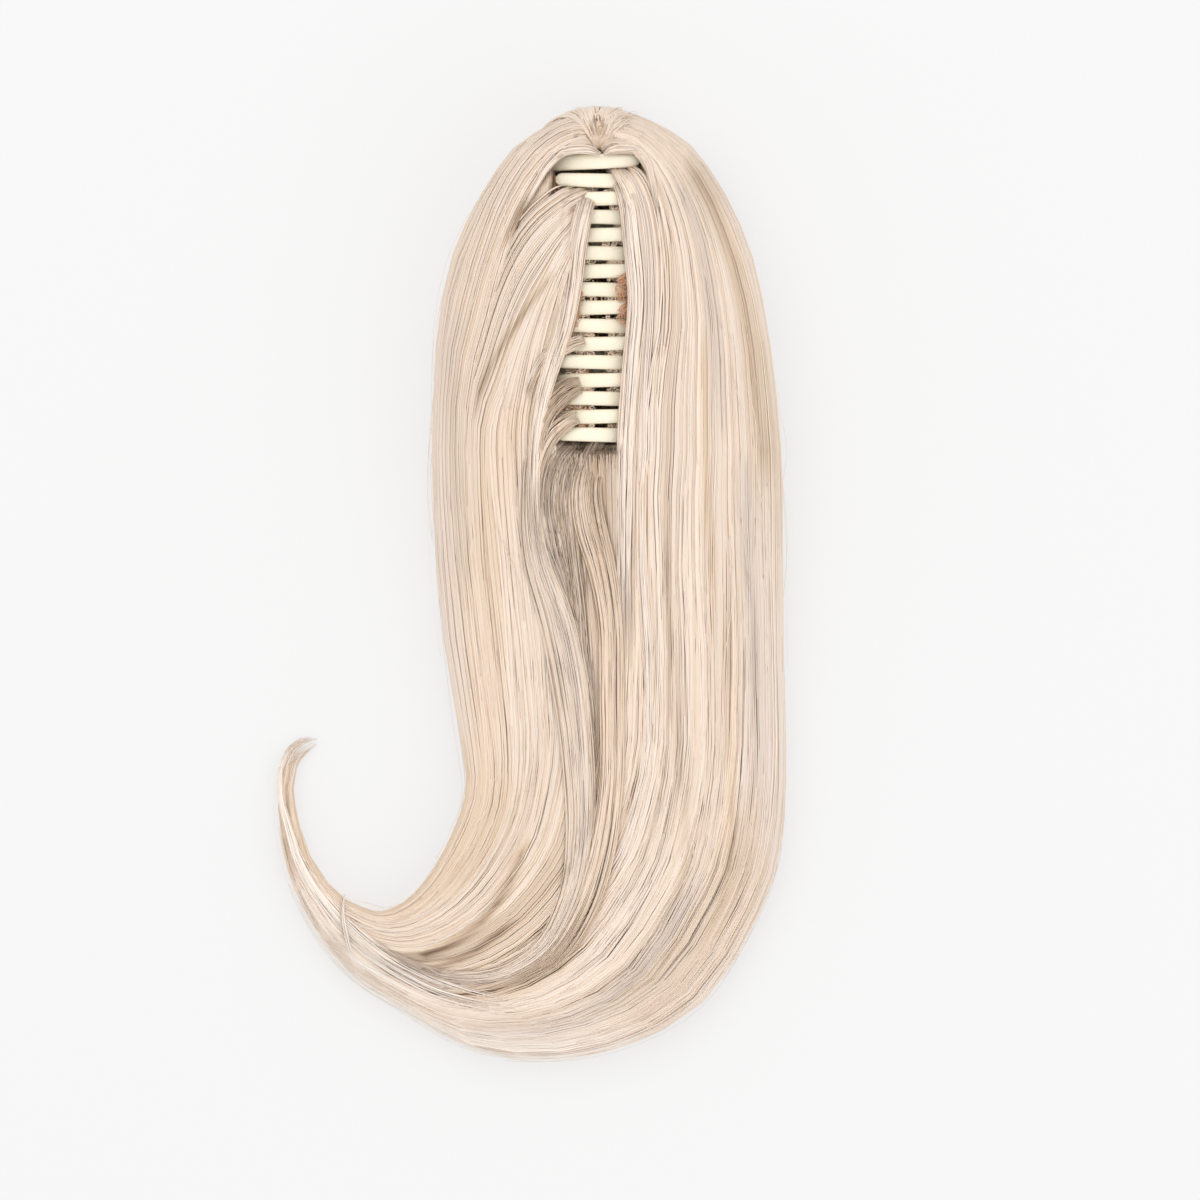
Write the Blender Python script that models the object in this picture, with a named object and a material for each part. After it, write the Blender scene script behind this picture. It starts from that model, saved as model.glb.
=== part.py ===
"""Claw-clip ponytail hairpiece, lying on its back with the claw's teeth upwards.

Sizes are in millimetres and are scaled to metres where each mesh is made.
+X is to the right and +Y towards the crown, as one looks down on the claw.
The origin is on the surface that the hair lies on, under the middle of the hair.
"""

import math
from collections import namedtuple

import bmesh
import bpy

MM = 0.001

# Claw clip: two toothed jaws that hinge on one steel pin
CLAW_X = 25.3
CLAW_Y = 109.9
HINGE_Z = 31.0
COMB_LENGTH = 110.4
TEETH_PER_JAW = 8
TOOTH_PITCH = 7.0
TOOTH_TIP_ANGLE = -28.8
TOOTH_ROOT_ANGLE = 46.0
TOOTH_ROOT_RADIUS = 28.2
TOOTH_TIP_RADIUS = 32.8
TOOTH_TIP_WIDTH = 5.1
TOOTH_ROOT_THICK = 2.9
TOOTH_TIP_THICK = 2.4
TOOTH_STEPS = 6
COMB_RADIUS = 28.2
COMB_TOP_ANGLE = 38.0
COMB_LOW_ANGLE = 74.0
PLATE_THICK = 2.6
HUB_LENGTH = 64.0
LEVER_LENGTH = 34.0
KNUCKLE_RADIUS = 3.6
KNUCKLE_BORE = 1.5
KNUCKLE_LENGTH = 8.0

# Hinge pin and its coil spring
PIN_RADIUS = 1.2
PIN_HEAD_RADIUS = 2.1
PIN_HEAD_LENGTH = 1.6
PIN_END_PLAY = 0.4
ROUND_SIDES = 12
SPRING_RADIUS = 2.45
SPRING_WIRE_RADIUS = 0.55
SPRING_LENGTH = 23.0
SPRING_TURNS = 8
SPRING_STEPS_PER_TURN = 8
SPRING_WIRE_SIDES = 4

# Wefted net sewn over the back of each jaw
NET_START = -53.5
NET_END = 47.5
NET_THICK = 1.0
NET_GAP = 0.3
NET_TOP_ANGLE = 31.0
NET_LOW_ANGLE = 72.0
NET_STEPS = 8

# Hair: one mass for each jaw, hollow round the claw
HOLLOW_FLOOR = 3.0
SEAM_HALF_GAP = 0.2
SIDE_ROUNDING = 0.30
TOP_POWER = 2.4
LOCK_DEPTH = 2.6
LOCK_DEPTH_SHARE = 0.07
WIDEST_EDGE_SHARE = 0.35
POINTS_PER_LOCK = 4
SIDE_POINTS = 4
UPRIGHT_POINTS = 3
LEFT_LOCKS = 6
RIGHT_LOCKS = 7

Tooth = namedtuple("Tooth", "lean root_width shift")
# The first tooth at the crown end is the broad one
FIRST_TOOTH = Tooth(0.85, 6.8, 0.7)
OTHER_TOOTH = Tooth(0.45, 5.7, 0.0)

JawLine = namedtuple("JawLine", "out up")
# The jaw's plate below its comb, as distances from the hinge axis
HUB_LINE = (
    JawLine(27.4, 2.5),
    JawLine(25.0, -2.0),
    JawLine(20.0, -4.6),
    JawLine(14.0, -5.2),
    JawLine(7.6, -4.6),
)
LEVER_LINE = (
    JawLine(9.6, -4.4),
    JawLine(13.4, -9.8),
    JawLine(18.4, -15.4),
)

Knuckle = namedtuple("Knuckle", "jaw start")
# Where each jaw's two knuckles start along the pin, from the middle of the claw
KNUCKLES = (
    Knuckle("left", -32.0),
    Knuckle("right", -22.4),
    Knuckle("left", 14.4),
    Knuckle("right", 24.0),
)

# A tooth's eight-sided section, as shares of half its width and half its thickness
TOOTH_CORNERS = (
    (-1.0, 0.42),
    (-0.66, 1.0),
    (0.66, 1.0),
    (1.0, 0.42),
    (1.0, -0.42),
    (0.66, -1.0),
    (-0.66, -1.0),
    (-1.0, -0.42),
)
TipCut = namedtuple("TipCut", "back wide thick")
# How a tooth narrows to its tip: degrees back from the tip, and shares of its full section
TIP_ROUNDING = (
    TipCut(4.0, 1.0, 1.0),
    TipCut(1.6, 0.86, 0.92),
    TipCut(0.0, 0.50, 0.70),
)

HollowPoint = namedtuple("HollowPoint", "angle radius")
# The hollow's wall round the hinge, from the floor up to the hair's edge over the teeth
HOLLOW_WALL = (
    HollowPoint(151.0, 32.0),
    HollowPoint(132.0, 32.0),
    HollowPoint(112.0, 32.0),
    HollowPoint(92.0, 32.0),
    HollowPoint(75.0, 32.4),
    HollowPoint(58.0, 32.5),
    HollowPoint(42.0, 33.2),
    HollowPoint(30.0, 34.7),
)

HairStation = namedtuple(
    "HairStation",
    "seam_x seam_y left_x left_y right_x right_y crown side valley under left_edge right_edge hollow",
)
# Cuts across the flow of the hair, from the crown to the curled tip. Each runs from the
# seam between the two masses to the left and the right outline. Crown, side, valley and
# under are heights: of the top, of the outline's widest point, of the seam between the
# masses and of the underside. The top begins at the edges, measured from the seam. Hollow
# is how wide the hollow round the claw is there, as a share of HOLLOW_WALL, or 0 for none.
HAIR_STATIONS = (
    HairStation(25.3, 184.2, 21.4, 183.9, 30.2, 184.0, 37, 30, 36, 17, 1.0, 1.0, 0),
    HairStation(25.3, 182.4, 14.7, 181.2, 37.6, 181.8, 46, 29, 42, 9, 2.5, 2.5, 0),
    HairStation(25.3, 178.4, 6.2, 177.2, 49.2, 177.0, 56, 28, 48, 3.5, 5.0, 5.0, 0),
    HairStation(25.3, 173.4, -0.8, 172.6, 56.7, 172.4, 62, 27, 52, 0.8, 8.0, 8.0, 0),
    HairStation(25.3, 168.6, -6.4, 168.2, 60.6, 168.4, 65, 27, 55, 0, 12.0, 13.0, 0),
    HairStation(25.3, 167.2, -7.6, 166.8, 61.6, 167.2, 66, 27, 3, 0, 16.2, 16.8, 0.965),
    HairStation(25.3, 152.1, -18.5, 150.2, 71.4, 152.1, 67.5, 26, 3, 0, 14.5, 13.0, 1),
    HairStation(25.3, 128.9, -28.2, 127.8, 82.2, 128.9, 68.5, 25, 3, 0, 13.5, 11.5, 1),
    HairStation(25.3, 101.9, -35.1, 101.1, 89.6, 101.9, 68, 24, 3, 0, 14.5, 11.5, 1),
    HairStation(25.3, 74.9, -37.8, 74.5, 93.8, 74.9, 67, 23, 3, 0, 16.0, 11.5, 1),
    HairStation(25.3, 52.6, -38.6, 52.2, 95.7, 52.6, 65.4, 22, 3, 0, 16.0, 11.5, 1),
    HairStation(25.3, 51.2, -38.6, 50.4, 95.9, 51.0, 65, 22, 51, 0, 16.0, 11.0, 0),
    HairStation(26.2, 24.7, -37.8, 26.6, 96.5, 24.7, 57, 19, 46, 0, 15.0, 8.0, 0),
    HairStation(29.2, -16.2, -33.0, -11.5, 96.7, -17.2, 47, 17, 40, 0, 13.0, 7.0, 0),
    HairStation(28.9, -60.1, -25.6, -53.3, 97.8, -63.0, 41, 15, 36, 0, 11.0, 6.0, 0),
    HairStation(22.4, -89.2, -25.1, -77.6, 96.5, -95.0, 37, 14, 34, 0, 10.0, 6.0, 0),
    HairStation(14.6, -108.5, -29.7, -94.2, 88.4, -121.1, 35, 13, 32, 0, 9.0, 6.0, 0),
    HairStation(-2.8, -130.0, -37.6, -109.6, 61.0, -160.3, 32, 12, 29, 0, 8.0, 6.0, 0),
    HairStation(-23.9, -143.0, -46.9, -121.2, 26.2, -181.0, 29, 11, 26, 0, 7.0, 6.0, 0),
    HairStation(-45.2, -146.5, -57.0, -126.8, -16.2, -181.6, 26, 10, 23, 0, 5.0, 5.0, 0),
    HairStation(-64.6, -141.5, -66.0, -125.3, -50.0, -168.2, 22, 9, 18, 0, 4.0, 4.0, 0),
    HairStation(-79.0, -129.9, -73.6, -118.3, -74.6, -146.3, 18, 7, 15, 0, 3.0, 3.0, 0),
    HairStation(-89.2, -110.5, -83.1, -103.9, -92.6, -117.0, 13, 6, 11.5, 0, 2.0, 2.0, 0),
    HairStation(-94.2, -85.0, -90.2, -83.1, -98.4, -86.8, 9, 4.5, 8, 0, 1.2, 1.2, 0),
    HairStation(-93.0, -69.4, -89.6, -71.0, -96.8, -67.4, 6, 3, 5.5, 0, 1.0, 1.0, 0),
    HairStation(-88.6, -62.6, -86.6, -65.0, -91.0, -60.2, 4.5, 2.2, 4, 0, 0.8, 0.8, 0),
    HairStation(-82.6, -60.2, -82.2, -61.6, -83.4, -58.6, 3, 1.5, 2.7, 0, 0.5, 0.5, 0),
)
STATION_STEPS = 2


def clear_scene():
    for old in list(bpy.data.objects):
        bpy.data.objects.remove(old, do_unlink=True)


def make_material(name, colour, roughness, metallic=0.0):
    material = bpy.data.materials.new(name)
    material.use_nodes = True
    shader = material.node_tree.nodes["Principled BSDF"]
    shader.inputs["Base Color"].default_value = (*colour, 1.0)
    shader.inputs["Roughness"].default_value = roughness
    shader.inputs["Metallic"].default_value = metallic
    return material


def add_object(name, points, faces, material, smooth=True):
    """A mesh object from points in millimetres, with its faces turned outwards."""
    mesh = bpy.data.meshes.new(name)
    mesh.from_pydata([tuple(MM * value for value in point) for point in points], [], faces)
    shape = bmesh.new()
    shape.from_mesh(mesh)
    bmesh.ops.recalc_face_normals(shape, faces=shape.faces)
    shape.to_mesh(mesh)
    shape.free()
    if smooth:
        mesh.shade_smooth()
        mesh.set_sharp_from_angle(angle=math.radians(40))
    thing = bpy.data.objects.new(name, mesh)
    bpy.context.scene.collection.objects.link(thing)
    thing.data.materials.append(material)
    return thing


def loft(sections):
    """Points and faces of a closed skin over sections that have the same number of points."""
    count = len(sections[0])
    points = [point for section in sections for point in section]
    faces = []
    for row in range(len(sections) - 1):
        for column in range(count):
            following = (column + 1) % count
            faces.append(
                (
                    row * count + column,
                    row * count + following,
                    (row + 1) * count + following,
                    (row + 1) * count + column,
                )
            )
    faces.append(tuple(reversed(range(count))))
    faces.append(tuple(range((len(sections) - 1) * count, len(sections) * count)))
    return points, faces


def on_claw(side, angle, radius):
    """The x and z of a point round the hinge. The angle runs from straight up to the jaw's own side."""
    turn = math.radians(angle)
    return CLAW_X + side * radius * math.sin(turn), HINGE_Z + radius * math.cos(turn)


def mix(first, second, share):
    return first + (second - first) * share


def extrude_along_pin(outline, start, end):
    """A prism of an x, z outline between two places along the claw's middle."""
    sections = [[(x, CLAW_Y + place, z) for x, z in outline] for place in (start, end)]
    return loft(sections)


def ribbon(line, thickness):
    """The outline of a bent plate that follows a line of x, z points."""
    first_side, second_side = [], []
    for index, (x, z) in enumerate(line):
        before = line[max(index - 1, 0)]
        after = line[min(index + 1, len(line) - 1)]
        run_x, run_z = after[0] - before[0], after[1] - before[1]
        length = math.hypot(run_x, run_z)
        step_x, step_z = -run_z / length * thickness / 2, run_x / length * thickness / 2
        first_side.append((x + step_x, z + step_z))
        second_side.append((x - step_x, z - step_z))
    return first_side + second_side[::-1]


def circle(radius, sides=ROUND_SIDES):
    turns = (2 * math.pi * (side + 0.5) / sides for side in range(sides))
    return [(CLAW_X + radius * math.cos(turn), HINGE_Z + radius * math.sin(turn)) for turn in turns]


def combine(target, tools, operation):
    """Applies the tools to the target one by one with exact Booleans, and removes them."""
    for tool in tools:
        boolean = target.modifiers.new(operation.title(), "BOOLEAN")
        boolean.operation = operation
        boolean.solver = "EXACT"
        boolean.object = tool
        graph = bpy.context.evaluated_depsgraph_get()
        joined = bpy.data.meshes.new_from_object(target.evaluated_get(graph))
        target.modifiers.clear()
        target.data = joined
        bpy.data.objects.remove(tool, do_unlink=True)
    return target


def tooth_sections(side, place, tooth):
    """One curved tooth from inside the comb to its rounded tip."""
    cuts = []
    for step in range(TOOTH_STEPS + 1):
        angle = mix(TOOTH_ROOT_ANGLE, TOOTH_TIP_ANGLE + TIP_ROUNDING[0].back, step / TOOTH_STEPS)
        cuts.append((angle, 1.0, 1.0))
    cuts += [(TOOTH_TIP_ANGLE + tip.back, tip.wide, tip.thick) for tip in TIP_ROUNDING[1:]]
    sections = []
    for angle, wide, thick in cuts:
        share = (TOOTH_ROOT_ANGLE - angle) / (TOOTH_ROOT_ANGLE - TOOTH_TIP_ANGLE)
        radius = mix(TOOTH_ROOT_RADIUS, TOOTH_TIP_RADIUS, share)
        half_width = wide * mix(tooth.root_width, TOOTH_TIP_WIDTH, share) / 2
        half_thick = thick * mix(TOOTH_ROOT_THICK, TOOTH_TIP_THICK, share) / 2
        middle = place + tooth.lean * (2 * share - 1) + tooth.shift * (1 - share)
        section = []
        for across, outwards in TOOTH_CORNERS:
            x, z = on_claw(side, angle, radius + outwards * half_thick)
            section.append((x, CLAW_Y + middle + across * half_width, z))
        sections.append(section)
    return sections


def teeth_of(jaw):
    """Each tooth of a jaw with its place along the claw, crown end first."""
    first = (2 * TEETH_PER_JAW - 1) * TOOTH_PITCH / 2
    offset = 0 if jaw == "left" else 1
    for number in range(TEETH_PER_JAW):
        order = 2 * number + offset
        yield first - order * TOOTH_PITCH, FIRST_TOOTH if order == 0 else OTHER_TOOTH


def make_jaw(jaw, material):
    side = -1 if jaw == "left" else 1
    comb_angles = [mix(COMB_TOP_ANGLE, COMB_LOW_ANGLE, step / 4) for step in range(5)]
    comb_line = [on_claw(side, angle, COMB_RADIUS) for angle in comb_angles]
    hub_line = [(CLAW_X + side * point.out, HINGE_Z + point.up) for point in HUB_LINE]
    lever_line = [(CLAW_X + side * point.out, HINGE_Z + point.up) for point in LEVER_LINE]
    half = COMB_LENGTH / 2

    shell = ribbon(comb_line + hub_line[:3], PLATE_THICK)
    target = add_object(f"{jaw}_jaw", *extrude_along_pin(shell, -half, half), material, smooth=False)
    tools = []

    def add_tool(points, faces):
        tools.append(add_object(f"{jaw}_tool_{len(tools)}", points, faces, material, smooth=False))

    add_tool(*extrude_along_pin(ribbon(hub_line[1:], PLATE_THICK + 0.2), -HUB_LENGTH / 2, HUB_LENGTH / 2))
    add_tool(*extrude_along_pin(ribbon(lever_line, PLATE_THICK), -LEVER_LENGTH / 2, LEVER_LENGTH / 2))
    own_knuckles = [knuckle for knuckle in KNUCKLES if knuckle.jaw == jaw]
    link_line = [(CLAW_X + side * 8.6, HINGE_Z - 4.7), (CLAW_X + side * 1.9, HINGE_Z - 1.6)]
    for knuckle in own_knuckles:
        end = knuckle.start + KNUCKLE_LENGTH
        add_tool(*extrude_along_pin(ribbon(link_line, PLATE_THICK - 0.2), knuckle.start + 0.3, end - 0.3))
        add_tool(*extrude_along_pin(circle(KNUCKLE_RADIUS), knuckle.start, end))
    for place, tooth in teeth_of(jaw):
        add_tool(*loft(tooth_sections(side, place, tooth)))
    combine(target, tools, "UNION")

    bores = []
    for knuckle in own_knuckles:
        bore = extrude_along_pin(circle(KNUCKLE_BORE), knuckle.start - 1, knuckle.start + KNUCKLE_LENGTH + 1)
        bores.append(add_object(f"{jaw}_bore_{len(bores)}", *bore, material, smooth=False))
    combine(target, bores, "DIFFERENCE")
    target.data.shade_smooth()
    target.data.set_sharp_from_angle(angle=math.radians(35))
    return target


def make_pin(material):
    ends = [knuckle.start for knuckle in KNUCKLES]
    low = min(ends) - PIN_END_PLAY
    high = max(ends) + KNUCKLE_LENGTH + PIN_END_PLAY
    profile = (
        (low - PIN_HEAD_LENGTH, PIN_HEAD_RADIUS),
        (low, PIN_HEAD_RADIUS),
        (low, PIN_RADIUS),
        (high, PIN_RADIUS),
        (high, PIN_HEAD_RADIUS),
        (high + PIN_HEAD_LENGTH, PIN_HEAD_RADIUS),
    )
    sections = [[(x, CLAW_Y + place, z) for x, z in circle(radius)] for place, radius in profile]
    return add_object("hinge_pin", *loft(sections), material)


def make_spring(material):
    """The coil round the middle of the pin."""
    sections = []
    steps = SPRING_TURNS * SPRING_STEPS_PER_TURN
    for step in range(steps + 1):
        turn = 2 * math.pi * step / SPRING_STEPS_PER_TURN
        place = CLAW_Y + SPRING_LENGTH * (step / steps - 0.5)
        section = []
        for side in range(SPRING_WIRE_SIDES):
            around = 2 * math.pi * side / SPRING_WIRE_SIDES
            radius = SPRING_RADIUS + SPRING_WIRE_RADIUS * math.cos(around)
            section.append(
                (
                    CLAW_X + radius * math.cos(turn),
                    place + SPRING_WIRE_RADIUS * math.sin(around),
                    HINGE_Z + radius * math.sin(turn),
                )
            )
        sections.append(section)
    return add_object("spring", *loft(sections), material)


def jaw_outside(angle):
    """Radius of the jaw's outer face round the hinge, over its teeth or its comb."""
    if angle >= TOOTH_ROOT_ANGLE:
        return COMB_RADIUS + PLATE_THICK / 2
    share = (TOOTH_ROOT_ANGLE - angle) / (TOOTH_ROOT_ANGLE - TOOTH_TIP_ANGLE)
    thick = mix(TOOTH_ROOT_THICK, TOOTH_TIP_THICK, share)
    return mix(TOOTH_ROOT_RADIUS, TOOTH_TIP_RADIUS, share) + thick / 2


def make_net(jaw, material):
    side = -1 if jaw == "left" else 1
    outer, inner = [], []
    for step in range(NET_STEPS + 1):
        angle = mix(NET_TOP_ANGLE, NET_LOW_ANGLE, step / NET_STEPS)
        low = jaw_outside(angle) + NET_GAP
        inner.append(on_claw(side, angle, low))
        outer.append(on_claw(side, angle, low + NET_THICK))
    outline = inner + outer[::-1]
    prism = extrude_along_pin(outline, NET_START, NET_END)
    return add_object(f"{jaw}_net", *prism, material)


def between(ring, share):
    """A smooth curve through the two middle stations of four."""
    values = {}
    for name in HairStation._fields:
        a, b, c, d = (getattr(station, name) for station in ring)
        linear = (c - a) * share
        square = (2 * a - 5 * b + 4 * c - d) * share**2
        cube = (3 * b - a - 3 * c + d) * share**3
        straight = name in ("valley", "under", "hollow")
        values[name] = mix(b, c, share) if straight else 0.5 * (2 * b + linear + square + cube)
    return HairStation(**values)


def hair_stations():
    """The stations with smooth ones between them, but none where the hollow begins or ends."""
    last = len(HAIR_STATIONS) - 1
    stations = []
    for index in range(last):
        ring = [HAIR_STATIONS[min(max(index + step, 0), last)] for step in (-1, 0, 1, 2)]
        stations.append(ring[1])
        if bool(ring[1].hollow) == bool(ring[2].hollow):
            stations += [between(ring, step / STATION_STEPS) for step in range(1, STATION_STEPS)]
    return [*stations, HAIR_STATIONS[last]]


def smooth_step(share):
    share = min(max(share, 0.0), 1.0)
    return share * share * (3 - 2 * share)


def lock_grooves(locks, row):
    """Where the grooves between locks lie across the hair, drifting a little from cut to cut."""
    grooves = [0.0]
    for groove in range(1, locks):
        drift = 0.24 * math.sin(0.29 * row + 2.1 * groove)
        grooves.append((groove + drift) / locks)
    return [*grooves, 1.0]


def hollow_wall(side, station):
    """The inner side of the hair round the claw, from the seam up to the edge over the teeth."""
    wall = [(CLAW_X + side * SEAM_HALF_GAP, station.seam_y, HOLLOW_FLOOR)]
    for point in HOLLOW_WALL:
        x, z = on_claw(side, point.angle, point.radius)
        wall.append((mix(CLAW_X, x, station.hollow), station.seam_y, z))
    return wall


def hair_section(side, station, row, locks):
    """One closed cut through a hair mass: top with its locks, side, flat underside and inner wall."""
    seam = (station.seam_x, station.seam_y)
    outer = (station.left_x, station.left_y) if side < 0 else (station.right_x, station.right_y)
    width = math.dist(seam, outer)
    step_x, step_y = (outer[0] - seam[0]) / width, (outer[1] - seam[1]) / width
    edge = station.left_edge if side < 0 else station.right_edge
    if not station.hollow:
        edge = min(edge, WIDEST_EDGE_SHARE * width)
    depth = min(LOCK_DEPTH, LOCK_DEPTH_SHARE * width)

    def at(distance, z):
        return (seam[0] + step_x * distance, seam[1] + step_y * distance, max(z, 0.0))

    grooves = lock_grooves(locks, row)
    section = []
    for lock in range(locks):
        strength = depth * (0.75 + 0.25 * math.sin(1.7 * lock + 0.31 * row))
        for point in range(POINTS_PER_LOCK):
            share = point / POINTS_PER_LOCK
            turn = mix(grooves[lock], grooves[lock + 1], share) * math.pi / 2
            across = math.sin(turn)
            height = (1 - across**TOP_POWER) ** (1 / TOP_POWER)
            bulge = strength * (math.sin(math.pi * share) - 0.5)
            distance = mix(edge, width, across) + bulge * math.sin(turn)
            z = mix(station.side, station.crown, height) + bulge * math.cos(turn)
            section.append(at(distance, z))
    for point in range(SIDE_POINTS + 1):
        turn = point / SIDE_POINTS * math.pi / 2
        reach = 1 - SIDE_ROUNDING + SIDE_ROUNDING * math.cos(turn)
        section.append(at(width * reach, mix(station.side, station.under, math.sin(turn))))
    section.append(at(SEAM_HALF_GAP, station.under))
    if station.hollow:
        return section + hollow_wall(side, station)
    for point in range(1, UPRIGHT_POINTS + 1):
        z = mix(station.under, station.valley, point / (UPRIGHT_POINTS + 1))
        section.append(at(SEAM_HALF_GAP, z))
    slope_points = len(HOLLOW_WALL) + 1 - UPRIGHT_POINTS
    for point in range(slope_points):
        share = point / slope_points
        z = mix(station.valley, section[0][2], smooth_step(share))
        section.append(at(mix(SEAM_HALF_GAP, edge, share), z))
    return section


def make_hair(name, side, locks, material):
    sections = [hair_section(side, station, row, locks) for row, station in enumerate(hair_stations())]
    return add_object(name, *loft(sections), material)


def main():
    clear_scene()
    ivory = make_material("ivory_plastic", (0.93, 0.88, 0.72), 0.35)
    steel = make_material("steel", (0.72, 0.60, 0.38), 0.35, 1.0)
    net = make_material("peach_net", (0.80, 0.55, 0.42), 0.85)
    hair = make_material("ash_blonde_hair", (0.72, 0.61, 0.50), 0.45)
    for jaw in ("left", "right"):
        make_jaw(jaw, ivory)
        make_net(jaw, net)
    make_pin(steel)
    make_spring(steel)
    make_hair("left_hair", -1, LEFT_LOCKS, hair)
    make_hair("right_hair", 1, RIGHT_LOCKS, hair)


main()
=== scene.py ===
# %% [markdown]
# # A ponytail hairpiece on a claw clip
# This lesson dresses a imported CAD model. The model gives the sizes, the places and the
# joints of the claw clip; the cells below add what the eye looks at: thousands of strands
# of ash-blonde hair, smooth ivory teeth, curly net threads and a studio to see them in.

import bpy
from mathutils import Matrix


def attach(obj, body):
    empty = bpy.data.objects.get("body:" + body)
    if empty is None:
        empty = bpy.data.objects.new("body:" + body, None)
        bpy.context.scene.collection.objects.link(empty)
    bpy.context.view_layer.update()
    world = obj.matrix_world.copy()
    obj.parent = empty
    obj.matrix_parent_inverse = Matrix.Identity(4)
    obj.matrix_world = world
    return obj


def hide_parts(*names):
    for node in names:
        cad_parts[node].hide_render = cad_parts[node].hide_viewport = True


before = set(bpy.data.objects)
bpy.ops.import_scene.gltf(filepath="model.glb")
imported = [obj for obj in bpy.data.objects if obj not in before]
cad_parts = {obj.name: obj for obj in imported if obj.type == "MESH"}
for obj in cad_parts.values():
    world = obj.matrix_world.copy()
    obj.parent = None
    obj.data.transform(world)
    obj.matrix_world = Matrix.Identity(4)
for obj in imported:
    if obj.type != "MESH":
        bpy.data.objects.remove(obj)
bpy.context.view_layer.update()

# %% Imports and the unit of the lesson
import math
from collections import namedtuple

import bpy
import numpy as np

MM = 0.001
ROOT_BODY = "hairpiece"
HAIR_SLOT = "ash_blonde_hair"
LEFT_SIDE, RIGHT_SIDE = -1, 1
SIDE_NAMES = {LEFT_SIDE: "left", RIGHT_SIDE: "right"}

# %% [markdown]
# ## Camera
# The hairpiece lies on its back and the camera looks straight down on the claw's teeth.
# A very long lens from twelve metres keeps the high teeth and the low tail at the same scale,
# as in a catalogue picture.

# %% Camera
PHOTO_PIXELS = 1200
MM_PER_PIXEL = 0.386
PHOTO_CENTRE = (26.2, -6.2)
CAMERA_HEIGHT = 12000
SHARP_HEIGHT = 45
SENSOR_WIDTH = 36

camera_data = bpy.data.cameras.new("camera")
camera_data.sensor_width = SENSOR_WIDTH
camera_data.lens = SENSOR_WIDTH * (CAMERA_HEIGHT - SHARP_HEIGHT) / (PHOTO_PIXELS * MM_PER_PIXEL)
camera = bpy.data.objects.new("camera", camera_data)
camera.location = (PHOTO_CENTRE[0] * MM, PHOTO_CENTRE[1] * MM, CAMERA_HEIGHT * MM)
bpy.context.scene.collection.objects.link(camera)
bpy.context.scene.camera = camera
print("lens:", round(camera_data.lens), "mm")

# %% [markdown]
# ## Materials as expressions
# A material is written as Python expressions. A Wire is one output of a node: adding or
# multiplying wires adds Math nodes. Everything else comes from one method, `node`.

# %% Wires and finishes


class Wire:
    """One output of a node, on which Python's operators add Math nodes."""

    def __init__(self, finish, socket):
        self.finish = finish
        self.socket = socket

    def maths(self, operation, first, second):
        return self.finish.node("ShaderNodeMath", {"operation": operation}, {0: first, 1: second})

    def __add__(self, other):
        return self.maths("ADD", self, other)

    def __radd__(self, other):
        return self.maths("ADD", other, self)

    def __sub__(self, other):
        return self.maths("SUBTRACT", self, other)

    def __mul__(self, other):
        return self.maths("MULTIPLY", self, other)


class Finish:
    """A material with one Principled shader, whose nodes are added by expressions."""

    def __init__(self, name, **constants):
        self.material = bpy.data.materials.new(name)
        self.material.use_nodes = True
        self.tree = self.material.node_tree
        self.shader = self.tree.nodes["Principled BSDF"]
        for socket, value in constants.items():
            self.shader.inputs[socket.replace("_", " ")].default_value = value

    def node(self, kind, settings=None, inputs=None, output=0):
        """Adds a node: its settings first, then the values or wires of its sockets."""
        node = self.tree.nodes.new(kind)
        for name, value in (settings or {}).items():
            if name == "stops":
                self.set_stops(node.color_ramp, value)
            else:
                setattr(node, name, value)
        for socket, value in (inputs or {}).items():
            if isinstance(value, Wire):
                self.tree.links.new(value.socket, node.inputs[socket])
            else:
                node.inputs[socket].default_value = value
        return Wire(self, node.outputs[output])

    @staticmethod
    def set_stops(ramp, stops):
        while len(ramp.elements) < len(stops):
            ramp.elements.new(1.0)
        for element, (place, colour) in zip(ramp.elements, stops):
            element.position = place
            element.color = colour

    def cloudy(self, dark, light, low=0.3, high=0.7, **noise):
        """A colour that wanders between two, with the noise that moves it."""
        cloud = self.node("ShaderNodeTexNoise", None, noise)
        stops = [(low, colour(dark)), (high, colour(light))]
        return self.node("ShaderNodeValToRGB", {"stops": stops}, {0: cloud}), cloud

    def feed(self, **wires):
        for socket, wire in wires.items():
            self.tree.links.new(wire.socket, self.shader.inputs[socket.replace("_", " ")])
        return self.material


def colour(code):
    """A linear colour from a hexadecimal screen colour such as #E8DCD3."""
    parts = [int(code[place:place + 2], 16) / 255 for place in (1, 3, 5)]
    linear = [part / 12.92 if part <= 0.04045 else ((part + 0.055) / 1.055) ** 2.4 for part in parts]
    return (*linear, 1.0)


# %% [markdown]
# ## Studio
# A pale light table and soft light from all round. The key light is a wide panel above the
# crown, so that the strands get a gentle sheen along the tail and no hard shadow.

# %% Studio
FLOOR_SIDE = 60.0
FLOOR_GLOW = 0.60
AIR_STRENGTH = 0.86
WHITE = (1.0, 1.0, 1.0, 1.0)
floor_paint = Finish("studio_floor", Roughness=0.9, Emission_Color=WHITE, Emission_Strength=FLOOR_GLOW)
floor_colour, _ = floor_paint.cloudy("#8E8E8E", "#909090", 0.0, 1.0, Scale=3.0)
bpy.ops.mesh.primitive_plane_add(size=FLOOR_SIDE, location=(0, 0, 0))
floor = bpy.context.object
floor.name = "studio_floor"
floor.data.materials.append(floor_paint.feed(Base_Color=floor_colour))

world = bpy.data.worlds.new("studio_air")
world.use_nodes = True
world.node_tree.nodes["Background"].inputs["Color"].default_value = WHITE
world.node_tree.nodes["Background"].inputs["Strength"].default_value = AIR_STRENGTH
bpy.context.scene.world = world
bpy.context.scene.view_settings.view_transform = "Standard"

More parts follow.
